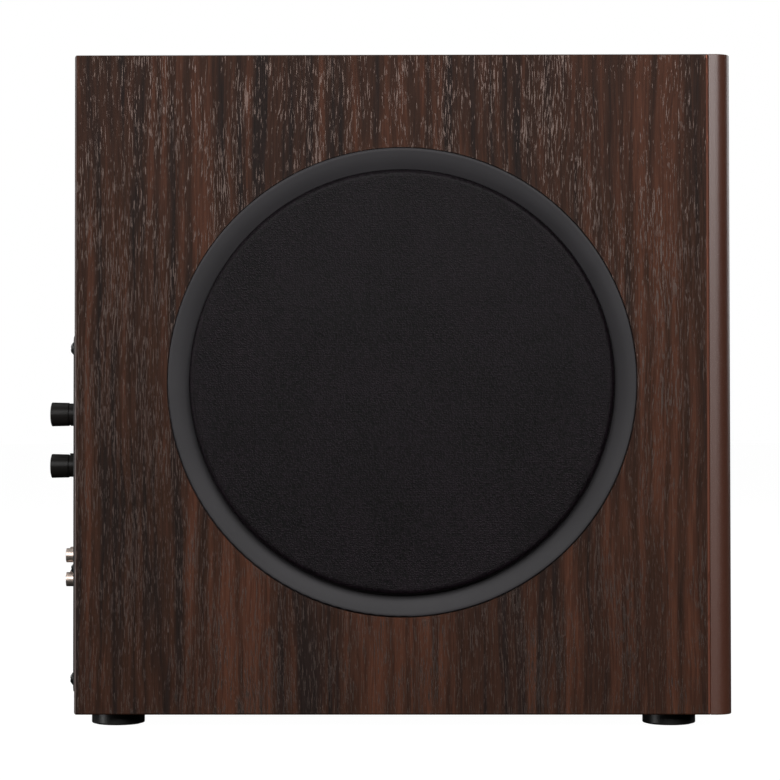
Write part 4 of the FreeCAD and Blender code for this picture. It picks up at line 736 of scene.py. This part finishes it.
def emitter(name, colour, strength):
    """A plain glowing surface for the stage."""
    material = bpy.data.materials.new(name)
    material.use_nodes = True
    tree = material.node_tree
    tree.nodes.clear()
    glow = tree.nodes.new("ShaderNodeEmission")
    glow.inputs["Color"].default_value = (*colour, 1.0)
    glow.inputs["Strength"].default_value = strength
    out = tree.nodes.new("ShaderNodeOutputMaterial")
    tree.links.new(glow.outputs[0], out.inputs["Surface"])
    return material


def set_stage():
    """A pale floor and a white surround. Only the camera sees them, so they don't light the object."""
    paint = Finish("floor_paint", Base_Color=(0.10, 0.10, 0.10), Roughness=1.0, Specular_IOR_Level=0.0,
                   Emission_Color=WHITE, Emission_Strength=0.99)
    reach, dome_radius = 14.0, 20.0
    corners = [(-reach, -reach, 0), (reach, -reach, 0), (reach, reach, 0), (-reach, reach, 0)]
    mesh = bpy.data.meshes.new("floor")
    mesh.from_pydata(corners, [], [(0, 1, 2, 3)])
    mesh.materials.append(paint.material)
    floor = bpy.data.objects.new("floor", mesh)
    made = bmesh.new()
    bmesh.ops.create_uvsphere(made, u_segments=48, v_segments=24, radius=dome_radius)
    mesh = bpy.data.meshes.new("surroundings")
    made.to_mesh(mesh)
    made.free()
    mesh.materials.append(emitter("white_surroundings", WHITE, 1.0))
    surroundings = bpy.data.objects.new("surroundings", mesh)
    for item in (floor, surroundings):
        bpy.context.scene.collection.objects.link(item)
        item.visible_diffuse = False
        item.visible_glossy = False
        item.visible_transmission = False
        item.visible_shadow = False


def soft_light(name, place, target, wide, high, radiance, colour=WHITE):
    """A rectangular soft light that faces a target, as bright as its radiance and size make it."""
    data = bpy.data.lights.new(name, "AREA")
    data.shape = "RECTANGLE"
    data.size, data.size_y = wide, high
    data.energy = radiance * math.pi * wide * high
    data.color = colour
    light = bpy.data.objects.new(name, data)
    light.location = place
    light.rotation_mode = "QUATERNION"
    light.rotation_quaternion = (Vector(target) - Vector(place)).to_track_quat("-Z", "Y")
    bpy.context.scene.collection.objects.link(light)


def set_lights():
    """A large key light on the driver's side, and weaker ones above, in front and behind."""
    middle, upper = (0.0, 0.0, 0.2), (0.0, 0.0, 0.25)
    soft_light("key_light", (-2.4, -0.1, 1.25), upper, 2.6, 1.4, 6.0)
    soft_light("top_light", (0.2, 0.0, 2.4), middle, 2.0, 2.0, 1.2, COOL_WHITE)
    soft_light("rear_strip", (-0.9, 1.9, 0.6), middle, 0.7, 1.8, 5.0)
    soft_light("front_fill", (1.8, -2.4, 1.0), middle, 1.6, 1.4, 2.4)
    soft_light("rear_fill", (1.6, 2.2, 1.0), middle, 1.4, 1.4, 2.2)


def set_world():
    """Faint light from all round, which grows from below the horizon to the zenith."""
    rise_of_strength = {"From Min": -0.5, "From Max": 1.0, "To Min": 0.06, "To Max": 0.20}
    world = bpy.data.worlds.new("studio")
    bpy.context.scene.world = world
    world.use_nodes = True
    tree = world.node_tree
    sky = tree.nodes["Background"]
    where = tree.nodes.new("ShaderNodeTexCoord")
    split = tree.nodes.new("ShaderNodeSeparateXYZ")
    rise = tree.nodes.new("ShaderNodeMapRange")
    tree.links.new(where.outputs["Generated"], split.inputs[0])
    tree.links.new(split.outputs["Z"], rise.inputs["Value"])
    for socket, number in rise_of_strength.items():
        rise.inputs[socket].default_value = number
    tree.links.new(rise.outputs["Result"], sky.inputs["Strength"])


def set_camera():
    """Level with the lower half of the box, square to the driver's side and about 1.5 m from it."""
    distance, along, height = 1551.97 * MM, -14.76 * MM, 179.25 * MM
    yaw, pitch, roll = math.radians(0.483), math.radians(1.337), math.radians(-0.06)
    data = bpy.data.cameras.new("camera")
    data.sensor_width = 36.0
    data.lens = 126.1385
    data.shift_x, data.shift_y = -0.0005, -0.0530
    data.clip_start, data.clip_end = 0.05, 60.0
    camera = bpy.data.objects.new("camera", data)
    look = Vector((math.cos(pitch) * math.cos(yaw), math.cos(pitch) * math.sin(yaw), math.sin(pitch)))
    camera.location = (SIDE_X - distance, along, height)
    camera.rotation_mode = "QUATERNION"
    camera.rotation_quaternion = look.to_track_quat("-Z", "Y") @ Quaternion((0, 0, 1), roll)
    bpy.context.scene.collection.objects.link(camera)
    bpy.context.scene.camera = camera


set_stage()
set_lights()
set_world()
set_camera()
bpy.context.scene.view_settings.view_transform = "Standard"
bpy.context.scene.view_settings.look = "None"
